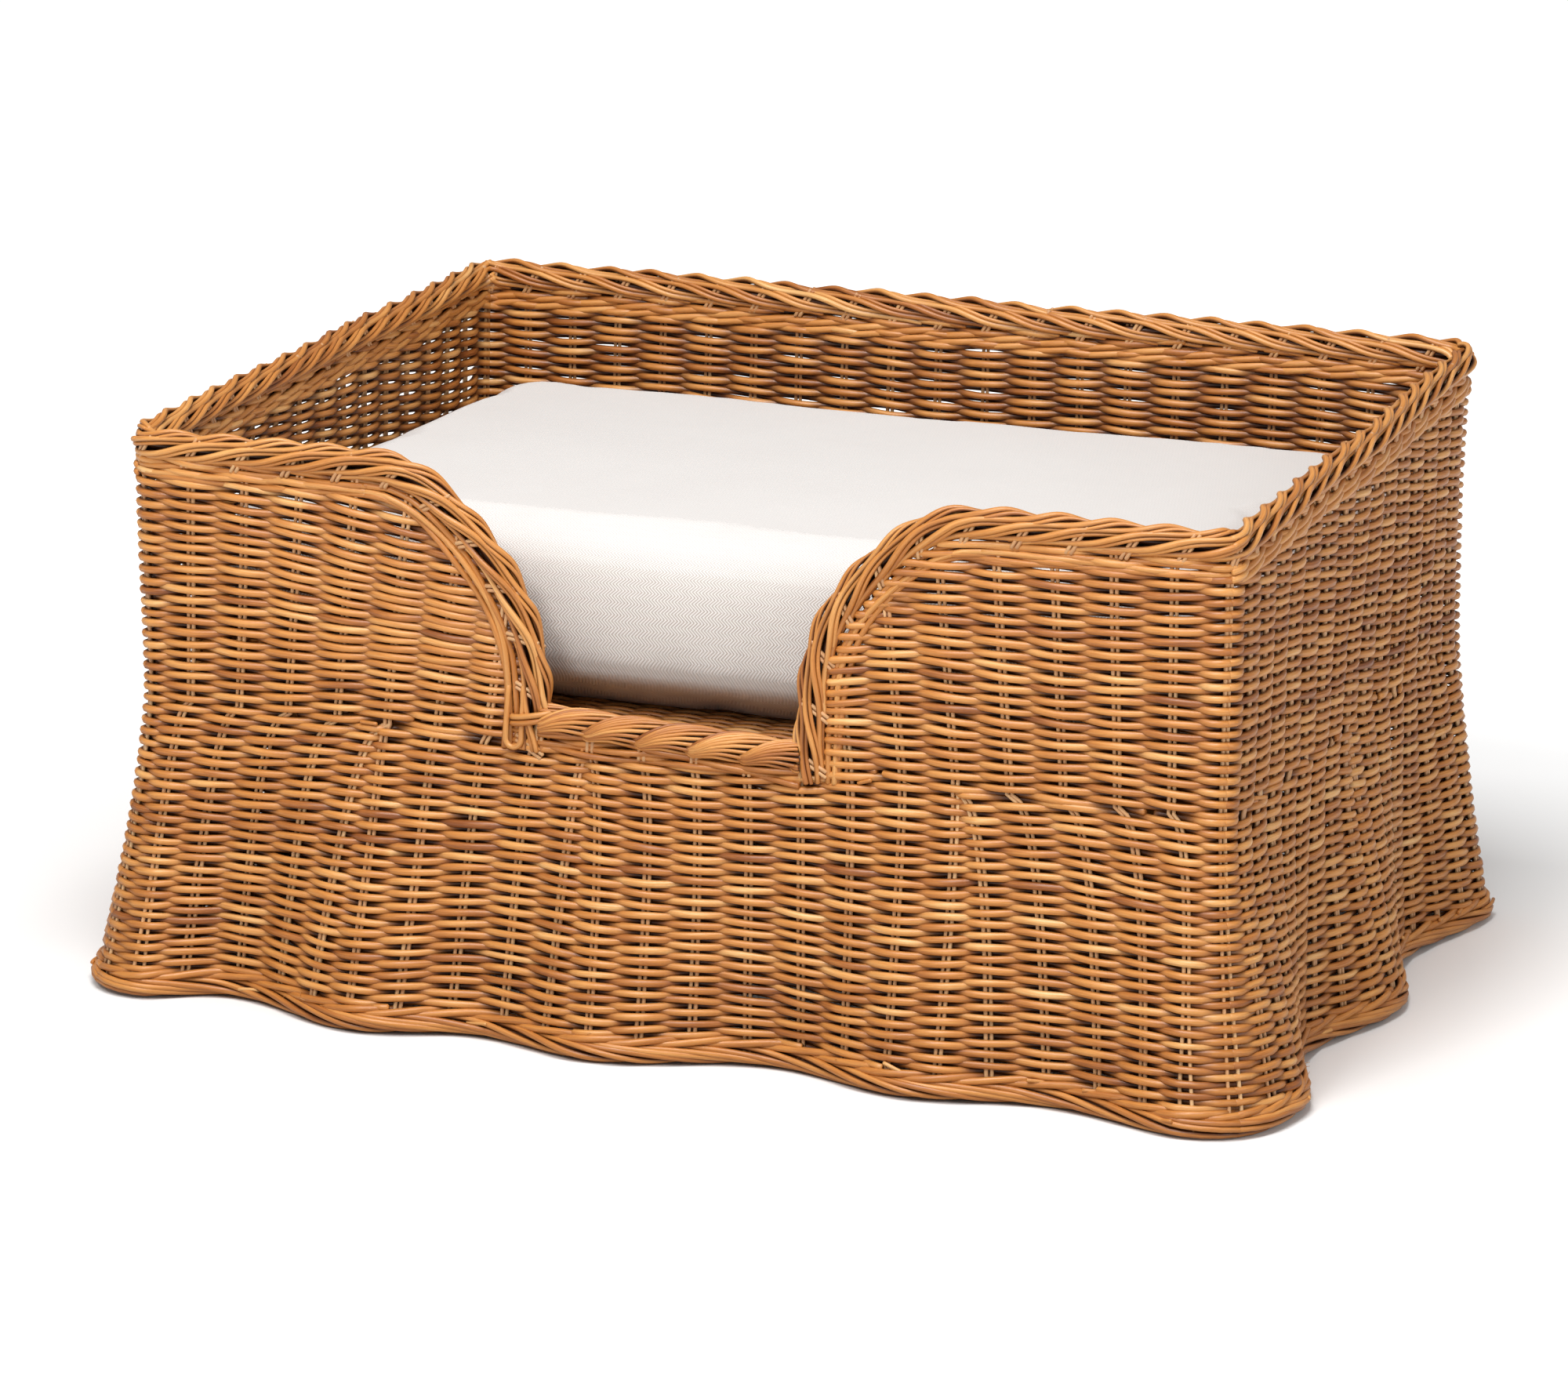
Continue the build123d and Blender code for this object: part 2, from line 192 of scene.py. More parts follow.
def ease(value):
    """Smooth step from 0 to 1."""
    value = np.clip(value, 0, 1)
    return value * value * (3 - 2 * value)


def sway(side, share, z):
    """Gentle hand-made unevenness of the wall, in and out."""
    around = TURN * (START[side] + share * SPACES[side]) / ROUND
    return 1.1 * np.sin(6 * around + z / 70) + 0.7 * np.sin(13 * around - z / 45 + 2)


def ripple(side, share, z):
    """Gentle rise and fall that neighbouring rows share."""
    around = TURN * (START[side] + share * SPACES[side]) / ROUND
    return 1.3 * np.sin(7 * around + z / 55 + 1) + 0.8 * np.sin(16 * around - z / 38)


def skin(side, share, z):
    """Points of the weave's outer face."""
    points, normals = outline(side, share)
    away = np.linalg.norm(points + [WALL_WIDTH / 2, WALL_DEPTH / 2], axis=-1)
    lean = CORNER_LEAN * ease((z - SHOULDER) / 170) * np.exp(-(away / 190) ** 2)
    reach = ruffle(side, share, z) + sway(side, share, z) + lean
    return np.column_stack([points + normals * reach[:, None], z])


def unit(vectors):
    return vectors / np.linalg.norm(vectors, axis=-1, keepdims=True)


def walked_length(points):
    """Length walked along a line at each of its points."""
    return np.concatenate([[0], np.cumsum(np.linalg.norm(np.diff(points, axis=0), axis=1))])


def with_ends(values):
    """The first and the last value once more, for the chamfered ends of a reed."""
    return np.concatenate([values[:1], values, values[-1:]])


def facing(side, share, z):
    """Unit normals of the weave's outer face."""
    across = skin(side, share + 0.002, z) - skin(side, share - 0.002, z)
    rise = skin(side, share, z + 1) - skin(side, share, z - 1)
    return unit(np.cross(across, rise))


def lifted(side, share, z, out):
    """Points that stand off the outer face."""
    return skin(side, share, z) + facing(side, share, z) * np.reshape(out, (-1, 1))


def height_at(y):
    """Height of the sloping rim at a depth."""
    slope = (BACK_HEIGHT - FRONT_HEIGHT) / (RIM_HIGH[1] - RIM_LOW[1])
    return FRONT_HEIGHT + slope * (y - RIM_LOW[1])


def rim_height(side, share):
    """Height of the rim at some shares of a side."""
    return height_at(outline(side, share)[0][:, 1])


def smooth_curve(points, count):
    """An even curve through a few points, by cubic spans."""
    points = np.array(points, float)
    padded = np.vstack([2 * points[0] - points[1], points, 2 * points[-1] - points[-2]])
    place = np.linspace(0, len(points) - 1, count)
    index = np.minimum(place.astype(int), len(points) - 2)
    t = (place - index)[:, None]
    a, b, c, d = (padded[index + i] for i in range(4))
    cubic = (3 * b - a - 3 * c + d) * t ** 3
    return 0.5 * (2 * b + (c - a) * t + (2 * a - 5 * b + 4 * c - d) * t ** 2 + cubic)


EDGE = smooth_curve(ENTRANCE_EDGE, 160)
EDGE_RUN = unit(np.gradient(EDGE, axis=0))


def left_shift(x, z):
    """How far the left edge is moved toward the middle."""
    return (x < 0) * LEFT_SHIFT * ease((310 - z) / 80)


def from_entrance(x, z):
    """Distance from the entrance's edge, positive in the wall and negative in the opening."""
    place = np.stack([np.abs(x) + left_shift(x, z), z], axis=-1)
    gap = place[:, None, :] - EDGE[None, :, :]
    nearest = np.argmin(np.sum(gap ** 2, axis=-1), axis=1)
    away = gap[np.arange(len(place)), nearest]
    run = EDGE_RUN[nearest]
    return away[:, 1] * run[:, 0] - away[:, 0] * run[:, 1]


def lay(side, share, level):
    """How far a row has sunk from its level at the front left corner of the basket."""
    if side == "right":
        return -SIDE_DROP * share
    if side == "back":
        return -SIDE_DROP + (SIDE_DROP - LEFT_DROP) * share
    if side == "left":
        return -LEFT_DROP * (1 - share)
    x = outline(side, share)[0][:, 0]
    left = np.clip((x + WALL_WIDTH / 2) / 268, 0, 1) ** 1.3 * (x < 0)
    right = np.exp(-np.clip(x - 95, 0, None) / 38) * (x > 0)
    above = level - DROOP_START
    return -WING_DROOP * left * ease(above / 115) - RIGHT_WING_DROOP * right * ease(above / 50)


# ---------------------------------------------------------------- reeds gathered into meshes
class Bundle:
    """Reeds gathered into one mesh, each with a tone and a grain of its own and a painted shade level on
    each side, for the material.
    """

    def __init__(self):
        self.points, self.tones, self.pales, self.grains, self.shade_exposures = [], [], [], [], []
        self.quads, self.caps = [], []
        self.count = 0

    def reed(self, path, radius, tone, up=(0, 0, 1), pale=0.0, sides=8, grain=0.0, face=None, level=0.45):
        """Adds one reed along a path, with a small chamfer at each end.

        Given the way out of the weave at each point, scaled by how near the reed is to the surface, the
        sides that face into the weave get painted shade; without it, every side gets the painted shade set
        by level."""
        path = np.asarray(path, float)
        inner, n = len(path), len(path) + 2
        radius = np.broadcast_to(np.asarray(radius, float), inner)
        tip = CHAMFER * radius[0] * unit(path[0] - path[1])
        tail = CHAMFER * radius[-1] * unit(path[-1] - path[-2])
        path = np.vstack([path[0] + tip, path, path[-1] + tail])
        radius = np.concatenate([[CHAMFER_RADIUS * radius[0]], radius, [CHAMFER_RADIUS * radius[-1]]])
        tone = with_ends(np.broadcast_to(np.asarray(tone, float), inner))
        up = with_ends(np.broadcast_to(np.asarray(up, float), (inner, 3)))
        run = unit(np.gradient(path, axis=0))
        side = unit(np.cross(run, up))
        lift = np.cross(side, run)
        angle = np.arange(sides) * TURN / sides
        cos, sin = np.cos(angle), np.sin(angle)
        around = side[:, None, :] * cos[None, :, None] + lift[:, None, :] * sin[None, :, None]
        rings = path[:, None, :] + around * radius[:, None, None]
        if face is None:
            shade_exposure = np.full((n, sides), level)
        else:
            shade_exposure = np.sum(around * with_ends(face)[:, None, :], axis=-1)
        grains = np.empty((n, sides, 3))
        grains[:, :, 0] = (walked_length(path) + grain)[:, None]
        grains[:, :, 1] = cos
        grains[:, :, 2] = sin
        first = self.count + np.arange(n - 1)[:, None] * sides
        k = np.arange(sides)[None, :]
        after = (k + 1) % sides
        quads = np.stack([first + k, first + sides + k, first + sides + after, first + after], axis=-1)
        self.quads.append(quads.reshape(-1, 4))
        self.caps.append(self.count + np.arange(sides))
        self.caps.append(self.count + (n - 1) * sides + np.arange(sides)[::-1])
        self.points.append(rings.reshape(-1, 3))
        self.tones.append(np.repeat(tone, sides))
        self.pales.append(np.full(n * sides, pale))
        self.shade_exposures.append(shade_exposure.ravel())
        self.grains.append(grains.reshape(-1, 3))
        self.count += n * sides

    def piece(self, name, body, slot, material, nodes):
        """Makes the mesh, attaches it to the body that it rides on, and hides the CAD nodes that it stands
        for.
        """
        quads = np.vstack(self.quads)
        loops = np.concatenate([quads.ravel()] + self.caps)
        sizes = np.concatenate([np.full(len(quads), 4), [len(cap) for cap in self.caps]])
        mesh = bpy.data.meshes.new(name)
        mesh.vertices.add(self.count)
        mesh.vertices.foreach_set("co", (np.vstack(self.points) * MM).ravel())
        mesh.loops.add(len(loops))
        mesh.loops.foreach_set("vertex_index", loops)
        mesh.polygons.add(len(sizes))
        mesh.polygons.foreach_set("loop_start", np.concatenate([[0], np.cumsum(sizes)[:-1]]))
        mesh.polygons.foreach_set("use_smooth", np.arange(len(sizes)) < len(quads))
        mesh.update(calc_edges=True)
        # The "open" attribute is how far each side faces out of the weave, which sets its painted shade in
        # the material.
        for key, values in (("tone", self.tones), ("pale", self.pales), ("open", self.shade_exposures)):
            mesh.attributes.new(key, "FLOAT", "POINT").data.foreach_set("value", np.concatenate(values))
        grain = mesh.attributes.new("grain", "FLOAT_VECTOR", "POINT")
        grain.data.foreach_set("vector", np.vstack(self.grains).ravel())
        mesh.materials.append(material)
        obj = bpy.data.objects.new(name, mesh)
        bpy.context.scene.collection.objects.link(obj)
        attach(obj, body)
        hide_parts(*nodes)
        return obj


def seeded(name):
    """A random generator that a name always gives the same."""
    return np.random.default_rng(sum((i + 1) * ord(letter) for i, letter in enumerate(name)))


def runs_of(keep):
    """First and last index of each unbroken stretch of True."""
    edges = np.flatnonzero(np.diff(np.concatenate([[0], keep.astype(int), [0]])))
    return list(zip(edges[::2], edges[1::2]))


class Weaver:
    """One row's own unevenness all round the basket, in height, thickness and tone."""

    def __init__(self, row):
        rng = np.random.default_rng(1000 + row)
        self.phases = rng.uniform(0, TURN, 8)
        self.joints = np.cumsum(rng.uniform(9, 30, 12)) - rng.uniform(0, 20)
        self.shades = np.clip(rng.normal(0.5, 0.12, 13), 0, 1)
        self.thickness = rng.normal(1, 0.05, 13)

    def wobble(self, u):
        around = TURN * u / ROUND
        waves = zip((9, 17, 31, 47), self.phases)
        return sum(0.3 * np.sin(times * around + phase) for times, phase in waves)

    def tone(self, u):
        around = TURN * u / ROUND
        drift = 0.06 * np.sin(11 * around + self.phases[4]) + 0.06 * np.sin(53 * around + self.phases[5])
        return np.clip(self.shades[np.searchsorted(self.joints, u)] + drift, 0, 1)

    def radius(self, u):
        swell = 1 + 0.04 * np.sin(23 * TURN * u / ROUND + self.phases[6])
        return WEAVER * self.thickness[np.searchsorted(self.joints, u)] * swell


# ---------------------------------------------------------------- stakes
class Stakes:
    """Where the stake pairs of one side stand, as shares of the side that change with height."""

    def __init__(self, side, skirt=False):
        self.side, self.skirt = side, skirt
        self.start = SKIRT_START[side] if skirt else START[side]
        spaces = SPACES[side]
        top = list(np.arange(spaces + 1) / spaces)
        if not skirt:
            self.top = self.bottom = np.array(top)
            return
        for share in ADDED_STAKES[side]:
            top.append(round(share * spaces) / spaces + 1e-4)
        self.top = np.sort(top)
        fine = np.linspace(0, 1, 400)
        length = walked_length(skin(side, fine, np.zeros(400)))
        self.bottom = np.interp(np.linspace(0, length[-1], len(top)), length, fine)

    def at(self, z):
        """Shares of the stakes at each of some heights, one row for each height."""
        z = np.asarray(z, float)[:, None]
        if self.skirt:
            spread = np.clip((WALE_LOW[2] - z) / WALE_LOW[2], 0, 1) ** 0.4
            return self.top + (self.bottom - self.top) * spread
        if self.side != "front":
            return np.repeat(self.top[None, :], len(z), axis=0)
        x = (self.top - 0.5) * side_length("front")
        lean = np.clip((WALL_WIDTH / 2 - np.abs(x)) / 270, 0, 1) * -np.sign(x) * 0.16
        return self.top + lean * np.clip(z - WALE_HIGH[2], 0, None) / side_length("front")

    def phase(self, share, z):
        """The count of stakes passed, and the length of the space between the two stakes around."""
        places = self.at(z)
        index = np.clip(np.sum(places <= share[:, None], axis=1) - 1, 0, places.shape[1] - 2)
        line = np.arange(len(share))
        gap = places[line, index + 1] - places[line, index]
        return index + (share - places[line, index]) / gap, gap * side_length(self.side)


def stand_stakes(bundle, stakes, index, low, high, rng):
    """One stake pair of a side, between two heights that may bend with it."""
    side = stakes.side
    z = np.arange(low, high + 4, 4.0)
    share = stakes.at(z)[:, index]
    beside = PAIR / side_length(side)
    for sign in (-1, 1):
        nudge = 0.25 * np.sin(z / 23 + rng.uniform(0, TURN))
        path = lifted(side, share + sign * beside, z, MIDDLE + STAKE_OUT + nudge)
        tone = rng.uniform(0.45, 1.0)
        # level=1.0 leaves the stakes without painted shade.
        bundle.reed(path, STAKE * rng.uniform(0.9, 1.05), tone, up=facing(side, share, z)[0], pale=1.0,
                    sides=6, grain=rng.uniform(0, 9000), level=1.0)


# ---------------------------------------------------------------- plain weave
def row_level(row):
    return HEM_HIGH[2] + 3 + row * ROW_PITCH


def weave(bundle, stakes, keep_where, turn_at=None):
    """Every row of one side: over one stake pair and under the next, alternate rows the other way."""
    side = stakes.side
    spaces = stakes.top.size - 1
    share = np.linspace(0, 1, spaces * STEPS_PER_SPACE + 1)
    u = START[side] + share * SPACES[side]
    for row in ROWS:
        level = row_level(row)
        weaver = Weaver(row)
        z = level + lay(side, share, level) + ripple(side, share, level) + weaver.wobble(u)
        keep = keep_where(share, z)
        if not keep.any():
            continue
        phase, gap = stakes.phase(share, z)
        swing = SWING * np.minimum(1, gap / FULL_GAP)
        weave_out = swing * np.cos(math.pi * (phase + stakes.start + row))
        if turn_at is not None:
            weave_out = turn_at(share, z, weave_out, row)
        path = lifted(side, share, z, MIDDLE + weave_out)
        normal = facing(side, share, z)
        # How far each side faces out of the weave, for the painted shade: front passes lighter, back passes
        # darker.
        painted_shade_way = normal * (0.25 + np.reshape(weave_out, (-1, 1)) / SWING)
        slope = np.clip(1 / np.linalg.norm(normal[:, :2], axis=-1), 1, 1.2)
        for first, last in runs_of(keep):
            if last - first < 3:
                continue
            piece = slice(first, last)
            line = path[piece]
            tone, radius, face = weaver.tone(u[piece]), (weaver.radius(u) * slope)[piece], painted_shade_way[piece]
            if turn_at is not None:
                line, tone, radius = round_end(side, share[piece], z[piece], line, tone, radius, row)
                face = np.vstack([np.repeat(face[:1], len(line) - len(face), axis=0), face])
            bundle.reed(line, radius, tone, grain=row * 977.0, face=face)


def round_end(side, share, z, line, tone, radius, row):
    """Turns the entrance end of a front row round the edge stake, from the front to the back."""
    x = outline(side, share)[0][:, 0]
    at_start = 0 < x[0] < ENTRANCE_EDGE[0][0] + 35
    if not at_start or row % 2:
        return line, tone, radius
    angle = np.linspace(0, math.pi, 7)[1:]
    end_share = share[0] - SWING * np.sin(angle) / side_length(side)
    end_z = z[0] - 0.5 * ROW_PITCH * (1 - np.cos(angle)) / 2
    bend = lifted(side, end_share, end_z, MIDDLE + SWING * np.cos(angle))[::-1]
    more = len(angle)
    return (np.vstack([bend, line]), np.concatenate([np.full(more, tone[0]), tone]),
            np.concatenate([np.full(more, radius[0]), radius]))


def side_wall(side):
    """Rows and limits of the upright wall of one side."""
    def keep_where(share, z):
        return (z > WALE_HIGH[2] - 1) & (z < rim_height(side, share) - RIM_BAND + 6)
    return keep_where


# How far from the entrance's edge the rows of each wing end, behind the border
BAND_LEFT = 18.5
BAND_RIGHT = 20.5


def wing(sign):
    """Rows and limits of one front wing, beside the entrance."""
    band = BAND_LEFT if sign < 0 else BAND_RIGHT

    def keep_where(share, z):
        points = outline("front", share)[0]
        x, y = points[:, 0], points[:, 1]
        inside = (z > WALE_HIGH[2] - 1) & (z < height_at(y) - RIM_BAND + 7) & (x * sign > 0)
        return inside & ((from_entrance(x, z) > band) | (z < SILL_LOW[2] + 3))
    return keep_where


def wing_turn(share, z, out, row):
    """Brings each row's entrance end to the front or back of the edge stake, or behind the border."""
    x = outline("front", share)[0][:, 0]
    near = 1 - ease((from_entrance(x, z) - BAND_RIGHT) / 26)
    near = near * (z > SILL_LOW[2] + 3)
    face = np.where(x > 0, SWING if row % 2 == 0 else -SWING, -0.8 if row % 2 == 0 else -2.6)
    return out * (1 - near) + face * near


def skirt_rows(share, z):
    return (z < WALE_LOW[2] + 1) & (z > HEM_HIGH[2] + 6.5)


def shoulder_rows(share, z):
    return (z >= WALE_LOW[2] + 1) & (z <= WALE_HIGH[2] - 1)


# ---------------------------------------------------------------- borders
class Spine:
    """A border's middle line, with its outward and upward directions, by the count of stakes passed."""

    def __init__(self, points, outward, beats, flip=False):
        self.points, self.beats = points, np.asarray(beats, float)
        self.outward = unit(outward)
        along = unit(np.gradient(points, axis=0))
        self.upward = np.cross(self.outward, along) * (-1 if flip else 1)
        self.first, self.last = self.beats[0], self.beats[-1]

    def at(self, beat, out, up):
        """Points beside the middle line; past an end the line goes straight on."""
        made = []
        for table in (self.points, self.outward, self.upward):
            inner = self.way(table, beat)
            if table is self.points:
                past, before = np.clip(beat - self.last, 0, None), np.clip(beat - self.first, None, 0)
                step = (table[-1] - table[-2]) / (self.beats[-1] - self.beats[-2])
                back = (table[1] - table[0]) / (self.beats[1] - self.beats[0])
                inner = inner + past[:, None] * step + before[:, None] * back
            made.append(inner)
        centre, outward, upward = made
        return centre + outward * np.reshape(out, (-1, 1)) + upward * np.reshape(up, (-1, 1))

    def way(self, table, beat):
        """Rows of one of the spine's tables at some beats, or at a single one."""
        return np.stack([np.interp(beat, self.beats, table[:, k]) for k in range(3)], axis=-1)


class Oval:
    """The section of a rolled border, walked from low outside, over the top, to low inside."""

    def __init__(self, wide, high, start=-75.0, end=255.0):
        self.wide, self.high = wide, high
        self.angles = np.radians(np.linspace(start, end, 240))
        section = np.stack([wide * np.cos(self.angles), high * np.sin(self.angles)], axis=-1)
        self.walk = walked_length(section)
        self.length = self.walk[-1]

    def at(self, walked, lift):
        """Outward and upward distance from the middle line."""
        angle = np.interp(walked, self.walk, self.angles)
        normal = unit(np.stack([np.cos(angle) / self.wide, np.sin(angle) / self.high], axis=-1))
        out = self.wide * np.cos(angle) + normal[:, 0] * lift
        return out, self.high * np.sin(angle) + normal[:, 1] * lift


RIM_OVAL = Oval(RIM_THICK / 2 - 1.9, RIM_BAND / 2 - 2.0)
# Length of the section that a reed of the braid walks in one beat, its radius, and how it scallops
RIM_RATE = 6.2
REED_THICK = 2.05
RIM_SCALLOP = 1.25
BRAID_WEAVE = 1.4
# The braid's second reed: how far it lies beside the first, and its share of the radius
BRAID_BESIDE = 3.0
BRAID_SECOND = 0.72
# How far the braid runs past the ends of its spine, in beats
BRAID_OVER = 0.1


def braid(bundle, spine, first, last):
    """A rolled border: one reed starts at each stake low outside, climbs over the top and ends inside.

    Only reeds whose middle lies between the first and last beat are made, so that two pieces can
    share a border."""
    span = RIM_OVAL.length / RIM_RATE
    for beat in range(math.floor(spine.first - span), math.ceil(spine.last) + 1):
        middle = np.clip(beat + span / 2, spine.first + 0.01, spine.last - 0.01)
        if not first <= middle < last:
            continue
        rng = seeded(f"rim_{beat % ROUND}")
        shift = rng.normal(0, 0.05)
        tone, thick = np.clip(rng.normal(0.55, 0.13), 0, 1), REED_THICK * rng.uniform(0.9, 1.08)
        t = np.linspace(0, 1, int(span * 12))
        place = beat + shift + t * span
        keep = (place >= spine.first - BRAID_OVER) & (place <= spine.last + BRAID_OVER)
        if keep.sum() < 5:
            continue
        phase = math.pi * (place - beat - span / 2 - shift) + rng.normal(0, 0.12)
        walked = t * RIM_OVAL.length + BRAID_WEAVE * np.sin(phase) + rng.normal(0, 0.35)
        tuck = np.clip(np.minimum(t, 1 - t) / 0.08, 0, 1)
        lift = RIM_SCALLOP * np.cos(phase) - 2.5 * (1 - tuck) + rng.normal(0, 0.25)
        for beside, share_of in ((0, 1.0), (BRAID_BESIDE, BRAID_SECOND)):
            out, up = RIM_OVAL.at(np.clip(walked - beside, 0, RIM_OVAL.length), lift - 0.3 * beside)
            path = spine.at(place, out, up)[keep]
            # Painted shade: lighter where the reed lies high on the border, darker where it dives under its
            # neighbours.
            face = unit(path - spine.at(place[keep], out[keep] * 0.2, up[keep] * 0.2))
            face *= (0.8 + 0.25 * np.cos(phase[keep]))[:, None]
            bundle.reed(path, thick * share_of, tone - 0.1 * beside / BRAID_BESIDE,
                        up=spine.way(spine.upward, place[keep]), grain=rng.uniform(0, 9000), face=face)


def fill_strands(bundle, spine, places, radius, name, wander=0.8, first=None, last=None, tone_and_shade=0.3):
    """Long reeds that lie along a border, inside it or beside its braid."""
    first = spine.first if first is None else first
    last = spine.last if last is None else last
    for index, (out, up) in enumerate(places):
        rng = seeded(f"{name}_{index}")
        beat = np.linspace(first, last, int((last - first) * 6) + 3)
        pass_out = out + wander * np.sin(beat * math.pi + index * 2.1 + rng.uniform(0, 1))
        pass_up = up + wander * np.sin(beat * 1.3 + rng.uniform(0, TURN))
        tone = np.clip(tone_and_shade + rng.uniform(-0.2, 0.2), 0, 1)
        bundle.reed(spine.at(beat, pass_out, pass_up), radius, tone, up=spine.way(spine.upward, beat),
                    # Reeds with tone_and_shade of 0.3 or less, hidden inside a border, get a deep painted
                    # shade; the others a light one.
                    grain=rng.uniform(0, 9000), level=0.5 if tone_and_shade > 0.3 else -0.35)


def stubs(bundle, spine, low, high, out, name, lean=0.3, first=None, last=None):
    """The ends of the stake pairs, seen in the gaps of a border."""
    first = spine.first if first is None else first
    last = spine.last if last is None else last
    for beat in range(math.ceil(first), math.floor(last - 1e-6) + 1):
        rng = seeded(f"{name}_{beat}")
        for hand in (-1, 1):
            up = np.linspace(low, high + rng.uniform(-1.5, 1.5), 7)
            place = beat + lean * (up - low) / (high - low) + hand * 0.048
            path = spine.at(place, np.full(7, out), up)
            bundle.reed(path, STAKE, rng.uniform(0.4, 0.9), up=spine.way(spine.outward, beat), pale=1.0,
                        sides=6, grain=rng.uniform(0, 9000))


# The hem's rope: half its width and height, its reeds, and the turns that they make round the basket
ROPE_WIDE, ROPE_TALL = 4.3, 4.2
ROPE_REED = 2.15
ROPE_REEDS = 7
ROPE_TURNS = 13


def rope(bundle, spine, rng):
    """Reeds twisted round each other along the hem, which closes after all the beats of the skirt."""
    beat = np.linspace(spine.first, spine.last, int((spine.last - spine.first) * 7))
    around = TURN * beat / SKIRT_ROUND
    for k in range(ROPE_REEDS):
        angle = -(ROPE_TURNS * around + TURN * k / ROPE_REEDS) + 0.3 * np.sin(13 * around + 1.9 * k)
        swell = 1 + 0.1 * np.sin(17 * around + 2.4 * k)
        path = spine.at(beat, ROPE_WIDE * np.cos(angle) * swell, ROPE_TALL * np.sin(angle) * swell)
        # Painted shade on the sides of each rope reed that face into the rope.
        face = unit(path - spine.at(beat, 0 * beat, 0 * beat))
        tone = np.clip(rng.normal(0.5, 0.13), 0, 1)
        bundle.reed(path, ROPE_REED * rng.uniform(0.88, 1.1), tone, up=spine.way(spine.upward, beat),
                    grain=rng.uniform(0, 9000), face=face)


def wale(bundle, stakes, level, rng, rise=2.0):
    """Three reeds that each pass over two stakes and under one, twisting along a line."""
    side = stakes.side
    share = np.linspace(0, 1, SPACES[side] * 7 + 3)
    z_line = level(share)
    phase = stakes.phase(share, z_line)[0]
    for k in range(3):
        angle = TURN * (phase + stakes.start + k) / 3
        z = z_line + rise * np.sin(angle)
        path = lifted(side, share, z, MIDDLE + SWING * (np.cos(angle) * 1.05 + 0.2))
        # Painted shade: lighter on the passes in front of the stakes, darker on those behind.
        face = facing(side, share, z) * (0.25 + np.cos(angle))[:, None]
        tone = np.clip(rng.normal(0.5, 0.1), 0, 1)
        bundle.reed(path, WEAVER * rng.uniform(0.95, 1.05), tone, grain=rng.uniform(0, 9000), face=face)


def tails(bundle, side, low, high, count, rng):
    """Cut ends of weavers that stick out a little, and stray fibres."""
    for index in range(count):
        share, z = rng.uniform(0.04, 0.96), rng.uniform(low, high)
        thin = index % 3 > 0
        length = rng.uniform(5, 11) if thin else rng.uniform(9, 15)
        t = np.linspace(0, 1, 6)
        run = share + rng.choice((-1, 1)) * t * length / side_length(side)
        reach = MIDDLE + SWING + t * rng.uniform(2.0, 4.5) + (1.5 * t ** 2 if thin else 0)
        path = lifted(side, run, z + t * rng.uniform(-3, 5), reach)
        radius = 0.16 if thin else 1.3
        bundle.reed(path, radius, rng.uniform(0.4, 0.9), sides=5 if thin else 7, pale=0.4 if thin else 0.0)


def rim_spine(side, flip=False):
    """Middle line of the border along the top of one side."""
    share = np.linspace(0, 1, 120)
    if flip:
        share = share[::-1]
    z = rim_height(side, share) - RIM_BAND / 2
    beats = START[side] + np.abs(share - (1 if flip else 0)) * SPACES[side]
    if side == "left":
        beats = beats - ROUND
    centre = lifted(side, share, z, np.full(len(share), MIDDLE))
    return Spine(centre, facing(side, share, z), beats, flip)


def wing_path(sign):
    """(x, z) points of the border's middle line over one front wing and down the entrance's edge."""
    outward = np.stack([-EDGE_RUN[:, 1], EDGE_RUN[:, 0]], axis=-1)
    edge = EDGE + outward * RIM_BAND / 2
    top = FRONT_HEIGHT - RIM_BAND / 2
    turn = int(np.argmax(edge[:, 1] < top - 1.0))
    corner_x = side_length("front") / 2
    line = np.linspace(corner_x, edge[turn, 0] + 14, 30)
    points = np.vstack([np.column_stack([line, np.full(30, top)]), edge[turn:]])
    points[:, 0] *= sign
    points[:, 0] += left_shift(points[:, 0], points[:, 1])
    return points


def wing_spine(sign):
    """The border of one wing: from the corner of the basket down to the sill, or back up on the right."""
    points = wing_path(sign)
    if sign > 0:
        points = points[::-1]
    length = walked_length(points)
    even = np.linspace(0, length[-1], 150)
    x = np.interp(even, length, points[:, 0])
    z = np.interp(even, length, points[:, 1])
    share = front_share(x)
    pitch = side_length("front") / SPACES["front"]
    beats = even / pitch if sign < 0 else SPACES["front"] - (length[-1] - even) / pitch
    centre = lifted("front", share, z, np.full(len(share), MIDDLE))
    return Spine(centre, facing("front", share, z), beats)


